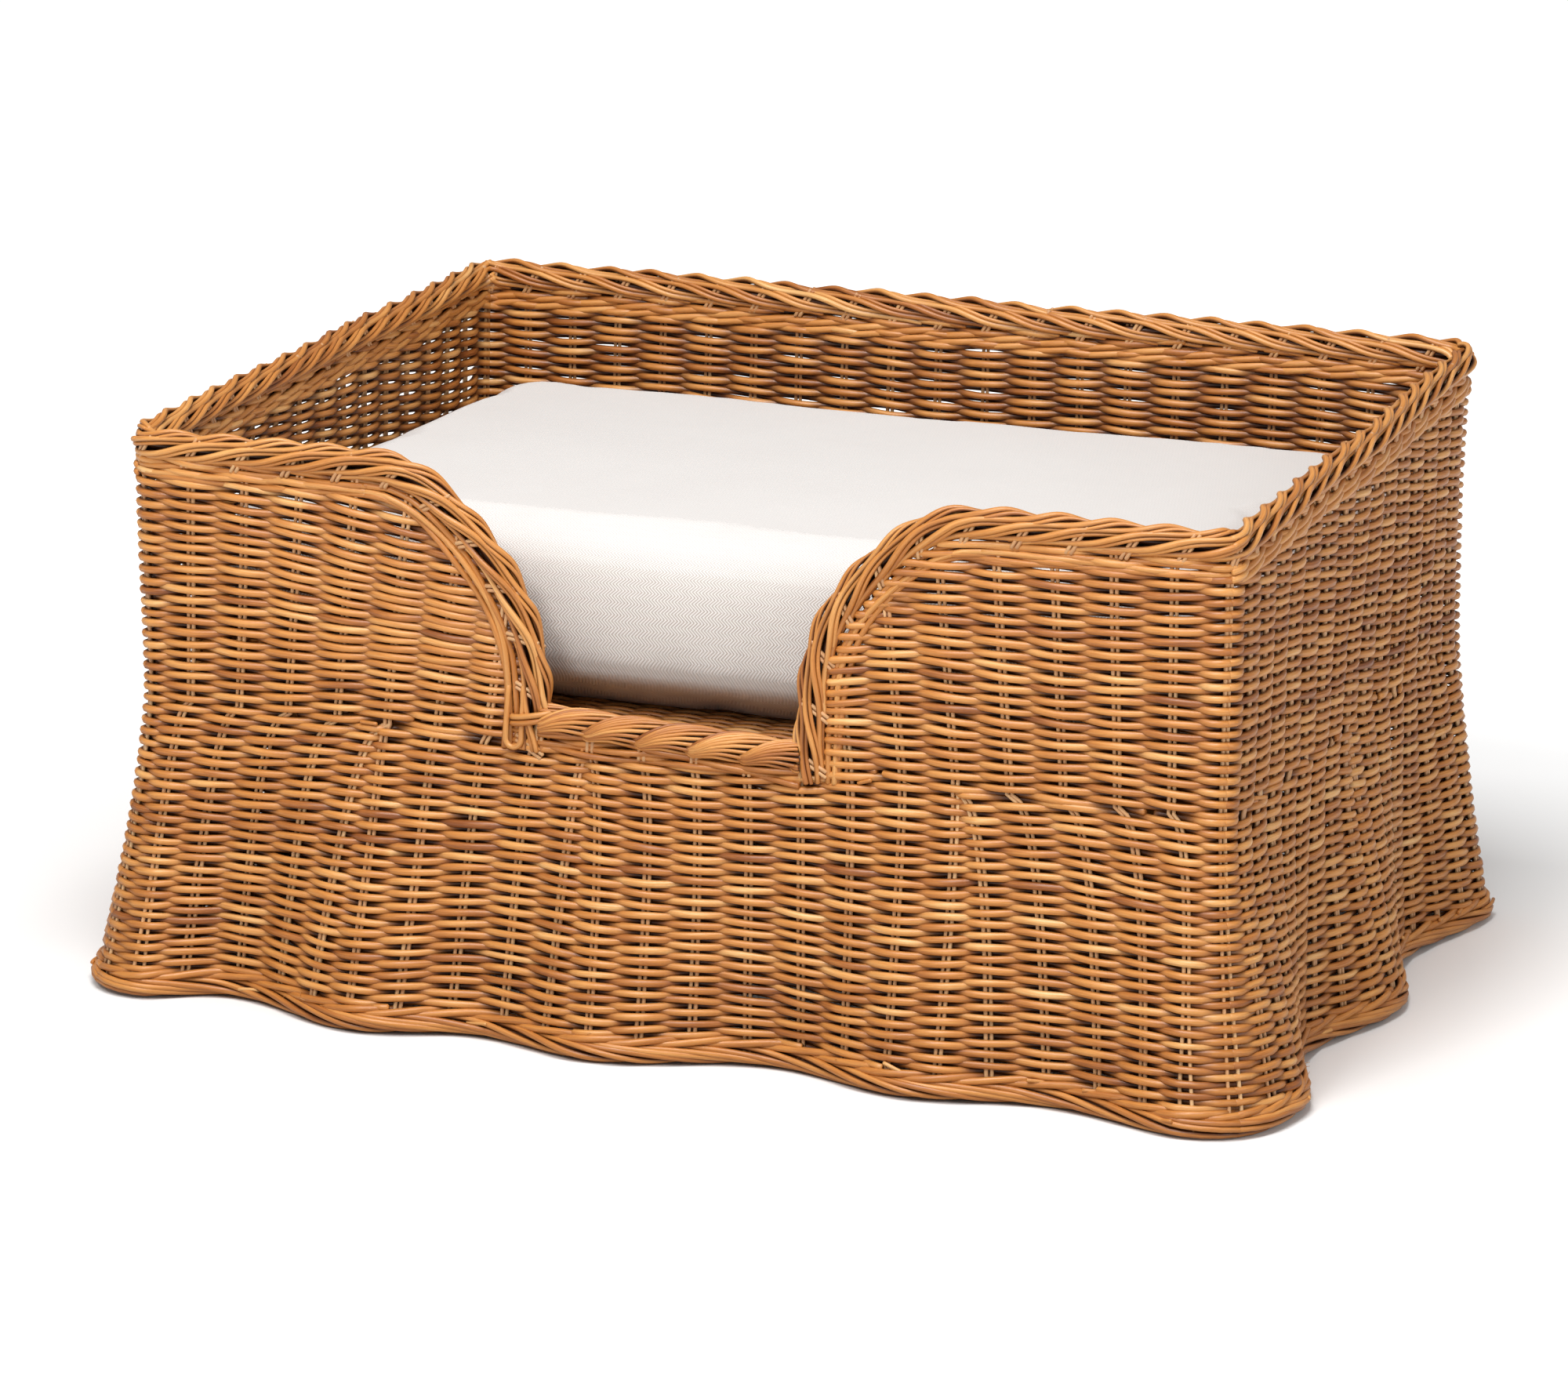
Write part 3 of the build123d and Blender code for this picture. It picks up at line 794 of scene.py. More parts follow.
# ---------------------------------------------------------------- materials
class Surface:
    """A material in the making: each helper adds one node and gives back its output."""

    def __init__(self, name):
        self.material = bpy.data.materials.new(name)
        self.material.use_nodes = True
        self.nodes, self.links = self.material.node_tree.nodes, self.material.node_tree.links
        self.sockets = self.nodes["Principled BSDF"].inputs

    def feed(self, socket, value):
        """Sets a socket to a number or a colour, or links an output to it."""
        if isinstance(value, (int, float)):
            socket.default_value = value
        elif isinstance(value, tuple):
            socket.default_value = (*value, 1)
        elif value is not None:
            self.links.new(value, socket)

    def feed_all(self, sockets, values):
        for name, value in values.items():
            self.feed(sockets[name], value)

    def math(self, operation, first, second=None, third=None, clamp=False):
        node = self.nodes.new("ShaderNodeMath")
        node.operation = operation
        node.use_clamp = clamp
        self.feed_all(node.inputs, {0: first, 1: second, 2: third})
        return node.outputs[0]

    def mix(self, kind, factor, first, second):
        node = self.nodes.new("ShaderNodeMix")
        node.data_type = "RGBA"
        node.blend_type = kind
        self.feed_all(node.inputs, {0: factor, 6: first, 7: second})
        return node.outputs[2]

    def ramp(self, factor, stops):
        node = self.nodes.new("ShaderNodeValToRGB")
        elements = node.color_ramp.elements
        while len(elements) < len(stops):
            elements.new(0.5)
        for element, (place, colour) in zip(elements, stops):
            element.position = place
            element.color = (*colour, 1)
        self.feed(node.inputs[0], factor)
        return node.outputs[0]

    def attribute(self, name, output="Fac"):
        node = self.nodes.new("ShaderNodeAttribute")
        node.attribute_name = name
        return node.outputs[output]

    def coordinates(self, output):
        return self.nodes.new("ShaderNodeTexCoord").outputs[output]

    def split(self, vector):
        node = self.nodes.new("ShaderNodeSeparateXYZ")
        self.feed(node.inputs[0], vector)
        return node.outputs

    def noise(self, vector, scale, detail=3.0, roughness=0.6):
        node = self.nodes.new("ShaderNodeTexNoise")
        values = {"Scale": scale, "Detail": detail, "Roughness": roughness, "Vector": vector}
        self.feed_all(node.inputs, values)
        return node.outputs["Fac"]

    def stretched(self, vector, scale):
        node = self.nodes.new("ShaderNodeMapping")
        node.inputs["Scale"].default_value = scale
        self.feed(node.inputs["Vector"], vector)
        return node.outputs["Vector"]

    def wave_line(self, value, pitch):
        """A smooth line that repeats every pitch, from 0 to 1."""
        turned = self.math("SINE", self.math("MULTIPLY", value, TURN / pitch))
        return self.math("MULTIPLY_ADD", turned, 0.5, 0.5)

    def bump(self, height, strength, distance):
        node = self.nodes.new("ShaderNodeBump")
        self.feed_all(node.inputs, {"Strength": strength, "Distance": distance * MM, "Height": height})
        self.feed(self.sockets["Normal"], node.outputs["Normal"])


# Painted shade on the reeds: colour left where the weave shelters a reed, from facing right into it to
# facing right out of it
PAINTED_SHADE_RAMP = [(0.0, (0.05, 0.028, 0.017)), (0.3, (0.16, 0.108, 0.078)), (0.5, (0.48, 0.41, 0.35)),
           (0.70, (0.88, 0.86, 0.84)), (1.0, (1.0, 1.0, 1.0))]
RATTAN_TONES = [(0.0, (0.26, 0.076, 0.014)), (0.25, (0.45, 0.158, 0.032)), (0.5, (0.62, 0.252, 0.056)),
                (0.75, (0.75, 0.365, 0.108)), (1.0, (0.88, 0.55, 0.23))]
PALE_REED = (0.66, 0.42, 0.24)
JOINT_TINT = (0.62, 0.42, 0.30)
FLECK_TINT = (0.70, 0.50, 0.36)


def rattan(name, tint=(1, 1, 1), bump=0.35, rough=0.36):
    """Peeled rattan: a tone for each reed, streaks along it, darker joints, a satin skin, and painted shade
    on the sides that face into the weave.
    """
    reed = Surface(name)
    grain = reed.attribute("grain", "Vector")
    tone, pale, shade_exposure = (reed.attribute(key) for key in ("tone", "pale", "open"))
    streak = reed.noise(reed.stretched(grain, (0.035, 1.7, 1.7)), 1.6, 4, 0.65)
    patch = reed.noise(reed.stretched(grain, (0.012, 0.25, 0.25)), 1.0, 2)
    fibre = reed.noise(reed.stretched(grain, (0.12, 6.0, 6.0)), 1.5, 3, 0.7)
    shifted = reed.math("MULTIPLY_ADD", reed.math("SUBTRACT", streak, 0.5), 0.8, tone)
    shifted = reed.math("MULTIPLY_ADD", reed.math("SUBTRACT", patch, 0.5), 0.5, shifted, clamp=True)
    tinted = [(place, tuple(c * t for c, t in zip(colour, tint))) for place, colour in RATTAN_TONES]
    colour = reed.ramp(shifted, tinted)
    colour = reed.mix("MIX", reed.math("MULTIPLY", pale, 0.55), colour, PALE_REED)
    joint = reed.math("MULTIPLY", reed.math("GREATER_THAN", patch, 0.72), 0.35)
    colour = reed.mix("MULTIPLY", joint, colour, JOINT_TINT)
    fleck = reed.math("MULTIPLY", reed.math("SUBTRACT", fibre, 0.42, clamp=True), 0.9)
    colour = reed.mix("MULTIPLY", fleck, colour, FLECK_TINT)
    # Painted shade: darkens each side of a reed by how far it faces into the weave.
    painted_shade = reed.ramp(reed.math("MULTIPLY_ADD", shade_exposure, 0.5, 0.5, clamp=True), PAINTED_SHADE_RAMP)
    reed.feed(reed.sockets["Base Color"], reed.mix("MULTIPLY", 1.0, colour, painted_shade))
    reed.feed(reed.sockets["Specular IOR Level"], 0.56)
    reed.feed(reed.sockets["Roughness"], reed.math("MULTIPLY_ADD", fibre, 0.28, rough - 0.12))
    reed.bump(reed.math("ADD", streak, reed.math("MULTIPLY", fibre, 0.7)), bump, 0.25)
    return reed.material


WEAVE = rattan("rattan_weave")
# The stakes' paler tint is partly their own paler cane and partly painted light that lifts them out of the
# shade of the weave's gaps.
STAKES = rattan("rattan_stakes", tint=(1.12, 1.15, 1.25))
BORDER = rattan("rattan_border", tint=(1.0, 0.99, 0.97))
POLES = rattan("rattan_poles", tint=(0.95, 0.98, 0.95), bump=0.6, rough=0.42)

# Herringbone: height of one band, and pitch of its slanting lines
BAND = 4.25 * MM
TWILL = 2.3 * MM
THREAD = 0.62 * MM
COTTON_DARK, COTTON_LIGHT = (0.735, 0.70, 0.675), (0.79, 0.76, 0.735)
TWILL_SHADE = (0.40, 0.33, 0.285)


def cotton():
    """Off-white herringbone twill: level bands of slanting lines that change hand from band to band."""
    cloth = Surface("cover_cotton")
    place = cloth.coordinates("Object")
    x, y, z = cloth.split(place)
    facing_x, _, facing_z = cloth.split(cloth.coordinates("Normal"))
    on_side = cloth.math("GREATER_THAN", cloth.math("ABSOLUTE", facing_x), 0.72)
    along = cloth.nodes.new("ShaderNodeMix")
    cloth.feed_all(along.inputs, {0: on_side, 2: x, 3: y})
    depth = cloth.math("MULTIPLY", y, cloth.math("SUBTRACT", 1.0, on_side))
    rise = cloth.math("ADD", z, depth)
    zigzag = cloth.math("PINGPONG", rise, BAND)
    twill = cloth.wave_line(cloth.math("ADD", along.outputs[0], zigzag), TWILL)
    thread = cloth.wave_line(rise, THREAD)
    slub = cloth.noise(cloth.stretched(place, (55, 260, 260)), 1.0, 3)
    cloud = cloth.noise(place, 9.0, 3)
    strength = cloth.math("MULTIPLY_ADD", cloth.math("ABSOLUTE", facing_z), -0.82, 1.0)
    valley = cloth.math("MULTIPLY", cloth.math("SUBTRACT", 0.62, twill, clamp=True), 1.6)
    uneven = cloth.math("MULTIPLY_ADD", slub, 0.5, 0.75)
    amount = cloth.math("MULTIPLY", cloth.math("MULTIPLY", valley, strength), uneven, clamp=True)
    ground = cloth.mix("MIX", cloud, COTTON_DARK, COTTON_LIGHT)
    cloth.feed(cloth.sockets["Base Color"], cloth.mix("MIX", amount, ground, TWILL_SHADE))
    cloth.feed_all(cloth.sockets, {"Roughness": 0.86, "Sheen Weight": 0.25, "Sheen Roughness": 0.5})
    height = cloth.math("MULTIPLY_ADD", thread, 0.25, twill)
    cloth.bump(cloth.math("MULTIPLY_ADD", slub, 0.5, height), 0.5, 0.3)
    return cloth.material


def plain_surface(name, first, second, scale, rough, metallic=0.0, bump=0.2):
    """A surface with soft colour and gloss unevenness and a fine bump."""
    surface = Surface(name)
    place = surface.coordinates("Object")
    broad = surface.noise(place, scale, 4)
    fine = surface.noise(place, scale * 9, 3)
    surface.feed(surface.sockets["Base Color"], surface.mix("MIX", broad, first, second))
    surface.feed(surface.sockets["Roughness"], surface.math("MULTIPLY_ADD", fine, 0.25, rough - 0.12))
    surface.feed(surface.sockets["Metallic"], metallic)
    surface.bump(fine, bump, 0.1)
    return surface.material


COTTON = cotton()
TAPE = plain_surface("zip_tape_cloth", (0.62, 0.57, 0.51), (0.74, 0.69, 0.63), 220, 0.85, bump=0.5)
NYLON = plain_surface("zip_coil_nylon", (0.72, 0.69, 0.63), (0.80, 0.77, 0.71), 160, 0.38)
BRASS = plain_surface("zip_metal", (0.52, 0.42, 0.25), (0.68, 0.57, 0.36), 130, 0.34, metallic=1.0)


# ---------------------------------------------------------------- the basket
def build_walls():
    for side in ("right", "back", "left"):
        bundle = Bundle()
        weave(bundle, Stakes(side), side_wall(side))
        bundle.piece(f"weave_wall_{side}", "basket", "rattan_weave", WEAVE, [f"wall_{side}"])
    for sign, name in ((-1, "left"), (1, "right")):
        bundle = Bundle()
        weave(bundle, Stakes("front"), wing(sign), wing_turn)
        bundle.piece(f"weave_wall_front_{name}", "basket", "rattan_weave", WEAVE, [f"wall_front_{name}"])


# How far below the top of the rim the stakes of the wall end
STAKE_BELOW = 9.0


def build_stakes():
    for side in ("right", "back", "left"):
        rng, bundle = seeded(f"stakes_{side}"), Bundle()
        stakes = Stakes(side)
        for index in range(1, SPACES[side]):
            top = rim_height(side, stakes.top[index:index + 1])[0] - STAKE_BELOW
            stand_stakes(bundle, stakes, index, SHOULDER, top, rng)
        bundle.piece(f"reeds_{side}", "basket", "rattan_stakes", STAKES, [f"stakes_{side}"])
    stakes = Stakes("front")
    for sign, name in ((-1, "left"), (1, "right")):
        rng, bundle = seeded(f"stakes_front_{name}"), Bundle()
        for index in range(1, SPACES["front"]):
            z = np.arange(SHOULDER, FRONT_HEIGHT - 8, 2.0)
            x = (stakes.at(z)[:, index] - 0.5) * side_length("front")
            if x[0] * sign < 0:
                continue
            over_sill = abs(x[0]) < ENTRANCE_EDGE[-1][0] + 4
            free = z < SILL_LOW[2] + 9 if over_sill else from_entrance(x, z) > 17
            last = runs_of(free)[0][1]
            stand_stakes(bundle, stakes, index, SHOULDER, z[last - 1] - 4, rng)
        bundle.piece(f"reeds_front_{name}", "basket", "rattan_stakes", STAKES, [f"stakes_front_{name}"])
    rng, bundle = seeded("stakes_corners"), Bundle()
    for side in SIDES:
        top = rim_height(side, np.zeros(1))[0] - STAKE_BELOW
        stand_stakes(bundle, Stakes(side), 0, SHOULDER, top, rng)
    bundle.piece("reeds_corners", "basket", "rattan_stakes", STAKES, ["stakes_corners"])


def build_skirts():
    for side in SIDES:
        rng, bundle = seeded(f"skirt_{side}"), Bundle()
        stakes = Stakes(side, skirt=True)
        weave(bundle, stakes, skirt_rows)
        for index in range(stakes.top.size - 1):
            stand_stakes(bundle, stakes, index, 6.0, SHOULDER, rng)
        bundle.piece(f"weave_skirt_{side}", "basket", "rattan_weave", WEAVE, [f"skirt_{side}"])


def build_waling():
    for side in SIDES:
        rng, bundle = seeded(f"waling_{side}"), Bundle()
        weave(bundle, Stakes(side), shoulder_rows)
        tails(bundle, side, SHOULDER - 6, SHOULDER + 6, 6, rng)
        bundle.piece(f"reeds_waling_{side}", "basket", "rattan_border", WEAVE, [f"waling_{side}"])


def hem_spine(side):
    """Middle line of the rope border along the bottom of one side."""
    share = np.linspace(0, 1, 200)
    z = 7.9 + 4.5 * facing(side, share, np.full(200, 8.0))[:, 2]
    centre = lifted(side, share, z, np.full(200, -4.5))
    return Spine(centre, facing(side, share, z), SKIRT_START[side] + share * SKIRT_SPACES[side])


HEM_WALE = 16.0


def build_hems():
    for side in SIDES:
        rng, bundle = np.random.default_rng(77), Bundle()
        spine = hem_spine(side)
        rope(bundle, spine, rng)
        fill_strands(bundle, spine, [(0, 0)], 2.6, "hem", 0.3)
        wale(bundle, Stakes(side, skirt=True), lambda share: np.full(len(share), HEM_WALE), rng, rise=1.7)
        tails(bundle, side, 9, 20, 16, rng)
        bundle.piece(f"reeds_hem_{side}", "basket", "rattan_border", BORDER, [f"hem_{side}"])


# Reeds inside the border, and beside it on the wings, as (outward, upward) from its middle line
INNER_REEDS = [(0, -6), (-1, 0), (0, 5)]
WALL_SIDE_REEDS = [(1.6, -12.5), (2.6, -16.0), (1.8, -19.5)]
# Beats from the corner to where a wing's border turns down, and how far its two pieces run together
WING_BEND = 4.6
JOIN = 0.06


def border(bundle, spine, first, last):
    """A rolled border between two beats: its braid, inner reeds and the stake ends in its gaps."""
    braid(bundle, spine, first, last)
    low, high = max(first, spine.first), min(last, spine.last)
    fill_strands(bundle, spine, INNER_REEDS, 2.5, "inner", 0.8, low - JOIN, high + JOIN, tone_and_shade=0.15)
    for out in (3.9, -3.9):
        stubs(bundle, spine, -11, 7.5, out, "stub", first=low, last=high)


def build_rims():
    for side in ("right", "back", "left"):
        rng, bundle = seeded("rim"), Bundle()
        spine = rim_spine(side, flip=side == "back")
        border(bundle, spine, spine.first, spine.last)
        for drop in (2.5, 7.5):
            wale(bundle, Stakes(side), lambda share: rim_height(side, share) - RIM_BAND - drop, rng)
        bundle.piece(f"border_rim_{side}", "basket", "rattan_border", BORDER, [f"rim_{side}"])
    for sign, name in ((-1, "left"), (1, "right")):
        spine = wing_spine(sign)
        bend = WING_BEND if sign < 0 else SPACES["front"] - WING_BEND
        spans = [(spine.first, bend), (bend, spine.last)]
        if sign > 0:
            spans.reverse()
        parts = (("rim_front", "rim_front"), ("entrance", "entrance_edge"))
        for (part, node), (first, last) in zip(parts, spans):
            bundle = Bundle()
            border(bundle, spine, first, last)
            fill_strands(bundle, spine, WALL_SIDE_REEDS, 2.1, "wall_side", 0.9, first - JOIN, last + JOIN,
                         tone_and_shade=0.5)
            if part == "entrance" and sign < 0:
                tie_off(bundle)
            bundle.piece(f"border_{part}_{name}", "basket", "rattan_border", BORDER, [f"{node}_{name}"])


def tie_off(bundle):
    """The wrap and the looped tip that end the border at the foot of the entrance's left edge."""
    foot = -ENTRANCE_EDGE[-1][0] + LEFT_SHIFT
    for turn in range(2):
        angle = np.linspace(-2.0, 2.0, 18)
        x = foot - 12.0 + 15.0 * np.sin(angle)
        z = SILL_LOW[2] + 8.0 + 4.2 * turn + 3.0 * np.sin(angle)
        out = MIDDLE + 9.6 * np.cos(angle * 0.9)
        bundle.reed(lifted("front", front_share(x), z, out), 1.9, 0.45 + 0.2 * turn, grain=turn * 400.0)
    angle = np.linspace(0, math.pi, 14)
    x = np.concatenate([np.full(6, foot - 29.0), foot - 23.5 - 5.5 * np.cos(angle), np.full(6, foot - 18.0)])
    drop = np.linspace(34, 4, 6)
    z = SILL_LOW[2] - 4.0 + np.concatenate([drop, -6.0 * np.sin(angle), drop[::-1]])
    out = MIDDLE + np.concatenate([np.linspace(3, 7.4, 6), np.full(14, 7.4), np.linspace(7.4, 4, 6)])
    bundle.reed(lifted("front", front_share(x), z, out), 1.9, 0.6, up=(0, -1, 0), grain=77.0)


# The sill: its fans of reeds, the reeds in each, and how much lower its right end lies
SILL_SCALLOPS = 5
SILL_REEDS = 9
SILL_FALL = 7.0


def build_sill():
    rng, bundle = seeded("sill"), Bundle()
    beats = np.linspace(0, SILL_SCALLOPS, 60)
    half = ENTRANCE_EDGE[-1][0] + 6
    x = np.interp(beats, [0, SILL_SCALLOPS], [-half + LEFT_SHIFT, half])
    z = (SILL_LOW[2] + SILL_HIGH[2]) / 2 - 0.5 - SILL_FALL * beats / SILL_SCALLOPS
    share = front_share(x)
    spine = Spine(lifted("front", share, z, np.full(60, MIDDLE)), facing("front", share, z), beats)
    oval = Oval((SILL_HIGH[1] - SILL_LOW[1]) / 2 - 1.5, (SILL_HIGH[2] - SILL_LOW[2]) / 2 - 0.8)
    for scallop in range(-2, SILL_SCALLOPS + 1):
        for k in range(SILL_REEDS):
            high = k / (SILL_REEDS - 1)
            t = np.linspace(0, 1, 30)
            place = scallop - 0.2 + (1.3 + 1.1 * high) * t + rng.normal(0, 0.012)
            keep = (place >= 0) & (place <= SILL_SCALLOPS)
            if keep.sum() < 4:
                continue
            climb = (3.5 + 18.0 * high) * np.sin(math.pi / 2 * np.clip(t / 0.62, 0, 1)) ** 0.9
            after = (-6.5 + 25 * high) * np.clip((t - 0.45) / 0.55, 0, None) ** 1.2
            walked = 3.0 + 3.0 * high + climb + after
            lift = -2.0 + 3.7 * ease(t / 0.14) - 3.4 * t + 0.8 * np.sin(math.pi * t)
            out, up = oval.at(np.clip(walked, 0, oval.length), lift)
            path = spine.at(place, out, up)[keep]
            # Painted shade: lighter in the middle of each fan reed, darker towards its ends, where its
            # neighbours overlap it.
            face = unit(path - spine.at(place[keep], out[keep] * 0.2, up[keep] * 0.2))
            face *= (0.15 + 0.8 * np.sin(math.pi * np.clip(t[keep] + 0.06, 0, 1)) ** 0.6)[:, None]
            bundle.reed(path, 1.28 * rng.uniform(0.92, 1.08), np.clip(rng.normal(0.4, 0.14), 0, 1),
                        up=spine.way(spine.upward, place[keep]), grain=rng.uniform(0, 9000), face=face)
    fill_strands(bundle, spine, [(-4, 1), (0, 3), (4, 1), (0, -4), (-5, -7)], 2.6, "sill_fill", tone_and_shade=0.15)
    below = [(4.2, -9.0), (4.0, -13.0), (3.6, -16.5)]
    fill_strands(bundle, spine, below, 2.1, "sill_wale", 2.0, tone_and_shade=0.45)
    for out in (4.6, -5.6):
        stubs(bundle, spine, -16, -3.0, out, "sill_stub", lean=0.0)
    bundle.piece("border_sill", "basket", "rattan_border", BORDER, ["sill_border"])


# ---------------------------------------------------------------- the pole base under the cushion
CROSSBARS = 5
# How far a pole's path stops short of its box at each end, in shares of its radius
POLE_INSET = 0.4


def build_poles():
    """Rails and legs: thick rattan poles with their growth rings."""
    names = ["base_rail_front", "base_rail_right", "base_rail_back", "base_rail_left",
             "leg_front_left", "leg_front_right", "leg_back_right", "leg_back_left"]
    for name in names:
        low, high = box_mm(name)
        bundle = Bundle()
        pole(bundle, low, high, seeded(name))
        bundle.piece(f"pole_{name}", "basket", "rattan_poles", POLES, [name])
    low, high = box_mm("base_crossbars")
    bundle, rng = Bundle(), seeded("base_crossbars")
    bar = (high[2] - low[2]) / 2
    for x in np.linspace(low[0] + bar, high[0] - bar, CROSSBARS):
        pole(bundle, np.array([x - bar, low[1], low[2]]), np.array([x + bar, high[1], high[2]]), rng)
    bundle.piece("poles_crossbars", "basket", "rattan_poles", POLES, ["base_crossbars"])


def pole(bundle, low, high, rng):
    """One pole along the longest side of a box, a little bent, with a swelling at each growth ring."""
    axis = int(np.argmax(high - low))
    half = np.min(high - low) / 2
    tip = POLE_INSET * half
    run = np.linspace(low[axis] + tip, high[axis] - tip, int((high[axis] - low[axis]) / 3))
    path = np.repeat(((low + high) / 2)[None, :], len(run), axis=0)
    path[:, axis] = run
    aside = (axis + 1) % 3
    path[:, aside] += 0.5 * np.sin(run / 90 + rng.uniform(0, TURN))
    rings = np.arange(low[axis] + rng.uniform(30, 120), high[axis], rng.uniform(150, 210))
    near = np.exp(-(np.min(np.abs(run[:, None] - np.append(rings, 1e6)[None, :]), axis=1) / 4) ** 2)
    radius = half * (0.945 + 0.05 * near)
    up = (1, 0, 0) if axis == 2 else (0, 0, 1)
    # level=0.7 gives the poles a light painted shade.
    bundle.reed(path, radius, 0.62 - 0.35 * near, up=up, sides=20, grain=rng.uniform(0, 9000), level=0.7)


# The mat: gap between its stakes and between its reeds, and their radii
MAT_SPACE, MAT_PITCH = 24.0, 5.2
MAT_STAKE, MAT_REED = 1.5, 1.85


def build_mat():
    """The mat of flat-woven reeds that the cushion lies on."""
    low, high = box_mm("base_mat")
    rng, bundle = seeded("mat"), Bundle()
    thick = (high[2] - low[2]) / 2
    lengthwise = np.arange(low[0] + 8, high[0] - 4, MAT_SPACE)
    crosswise = np.arange(low[1] + 3, high[1] - 2, MAT_PITCH)
    for index, x in enumerate(lengthwise):
        y = np.linspace(low[1] + 1, high[1] - 1, 60)
        path = np.column_stack([np.full(60, x), y, np.full(60, low[2] + thick)])
        # level=0.3 gives the mat's stakes a painted shade.
        bundle.reed(path, MAT_STAKE, rng.uniform(0.3, 0.8), pale=1.0, sides=6, grain=index * 311.0,
                    level=0.3)
    for index, y in enumerate(crosswise):
        x = np.arange(low[0] + 1, high[0] - 1, 5.0)
        wave = np.cos(math.pi * ((x - lengthwise[0]) / MAT_SPACE + index))
        path = np.column_stack([x, y + 0.3 * np.sin(x / 31 + index), low[2] + thick + 1.1 * wave])
        # Painted shade: lighter where a reed passes over a stake, darker where it passes under.
        face = np.column_stack([0 * x, 0 * x, 0.25 + wave])
        bundle.reed(path, MAT_REED, np.clip(rng.normal(0.5, 0.12), 0, 1), sides=6, grain=index * 197.0,
                    face=face)
    bundle.piece("weave_mat", "basket", "rattan_weave", WEAVE, ["base_mat"])


# ---------------------------------------------------------------- the cushion
# Section of the cushion as (inset, height), from inside the bottom, up the side, to inside the top
CUSHION_SECTION = [(150, 0.0), (95, 1.0), (60, 8), (36, 16), (21, 21.5), (12, 25.5), (7, 30), (4.2, 37),
                   (2.2, 48), (0.8, 64), (1.0, 82), (3.0, 99), (6.5, 108), (13, 115.5), (24, 121),
                   (45, 124.5), (85, 126.5), (150, 127.6)]
SEAM_BOTTOM, SEAM_TOP = 33.0, 107.0
CORNER_ROUND = 38.0
SWELL_LIMIT = 9.0
CLOTH_INSET = 6.0
VOXEL = 8.0


def rounded_ring(low, high, inset, z):
    """One level ring of the cushion: a rectangle with round corners, evenly cut."""
    half_x, half_y = (high[0] - low[0]) / 2 - inset, (high[1] - low[1]) / 2 - inset
    radius = CORNER_ROUND * max(0.35, 1 - inset / 160)
    points = []
    corners = ((1, 1, 0), (-1, 1, 90), (-1, -1, 180), (1, -1, 270))
    for index, (sx, sy, start) in enumerate(corners):
        angle = np.radians(np.linspace(start, start + 90, 12))
        cx, cy = sx * (half_x - radius), sy * (half_y - radius)
        arc = np.column_stack([cx + radius * np.cos(angle), cy + radius * np.sin(angle)])
        nx, ny, _ = corners[(index + 1) % 4]
        step = math.radians(start + 90)
        follow = np.array([nx * (half_x - radius) + radius * math.cos(step),
                           ny * (half_y - radius) + radius * math.sin(step)])
        t = np.linspace(0, 1, 30)[1:-1, None]
        points += [arc, arc[-1] * (1 - t) + follow * t]
    ring = np.vstack(points) + (low[:2] + high[:2]) / 2
    return np.column_stack([ring, np.full(len(ring), z)])


def cushion_shell(low, high, inset):
    """A closed shell with the section of the cushion all round."""
    section = smooth_curve(CUSHION_SECTION, 48)
    rings = [rounded_ring(low, high, max(0, place) + inset, low[2] + z) for place, z in section]
    n = len(rings[0])
    k = np.arange(n)
    after = (k + 1) % n
    faces = []
    for level in range(len(rings) - 1):
        base = level * n
        faces += np.stack([base + k, base + after, base + n + after, base + n + k], axis=-1).tolist()
    faces.append(list(range(n))[::-1])
    faces.append([(len(rings) - 1) * n + i for i in range(n)])
    mesh = bpy.data.meshes.new("cushion_cover")
    mesh.from_pydata((np.vstack(rings) * MM).tolist(), [], faces)
    return mesh


def evaluated(obj):
    """The object's mesh with its modifiers applied."""
    return bpy.data.meshes.new_from_object(obj.evaluated_get(bpy.context.evaluated_depsgraph_get()))


def coordinates(mesh):
    values = np.empty(len(mesh.vertices) * 3)
    mesh.vertices.foreach_get("co", values)
    return values.reshape(-1, 3)


def apply_all(obj):
    """Replaces the object's mesh with the evaluated one and clears the modifiers."""
    mesh = evaluated(obj)
    obj.modifiers.clear()
    obj.data = mesh


def swell(obj):
    """Blows the cover up a little as cloth, and caps how far any point moves."""
    before = coordinates(obj.data)
    cloth = obj.modifiers.new("Cloth", "CLOTH")
    cloth.settings.quality = 4
    cloth.settings.use_pressure = True
    cloth.settings.uniform_pressure_force = 4.0
    cloth.settings.effector_weights.gravity = 0.0
    for frame in range(1, 21):
        bpy.context.scene.frame_set(frame)
    after = coordinates(evaluated(obj))
    bpy.context.scene.frame_set(1)
    obj.modifiers.clear()
    move = after - before
    length = np.linalg.norm(move, axis=1, keepdims=True)
    move *= np.minimum(1, SWELL_LIMIT * MM / np.maximum(length, 1e-9))
    obj.data.vertices.foreach_set("co", (before + move).ravel())


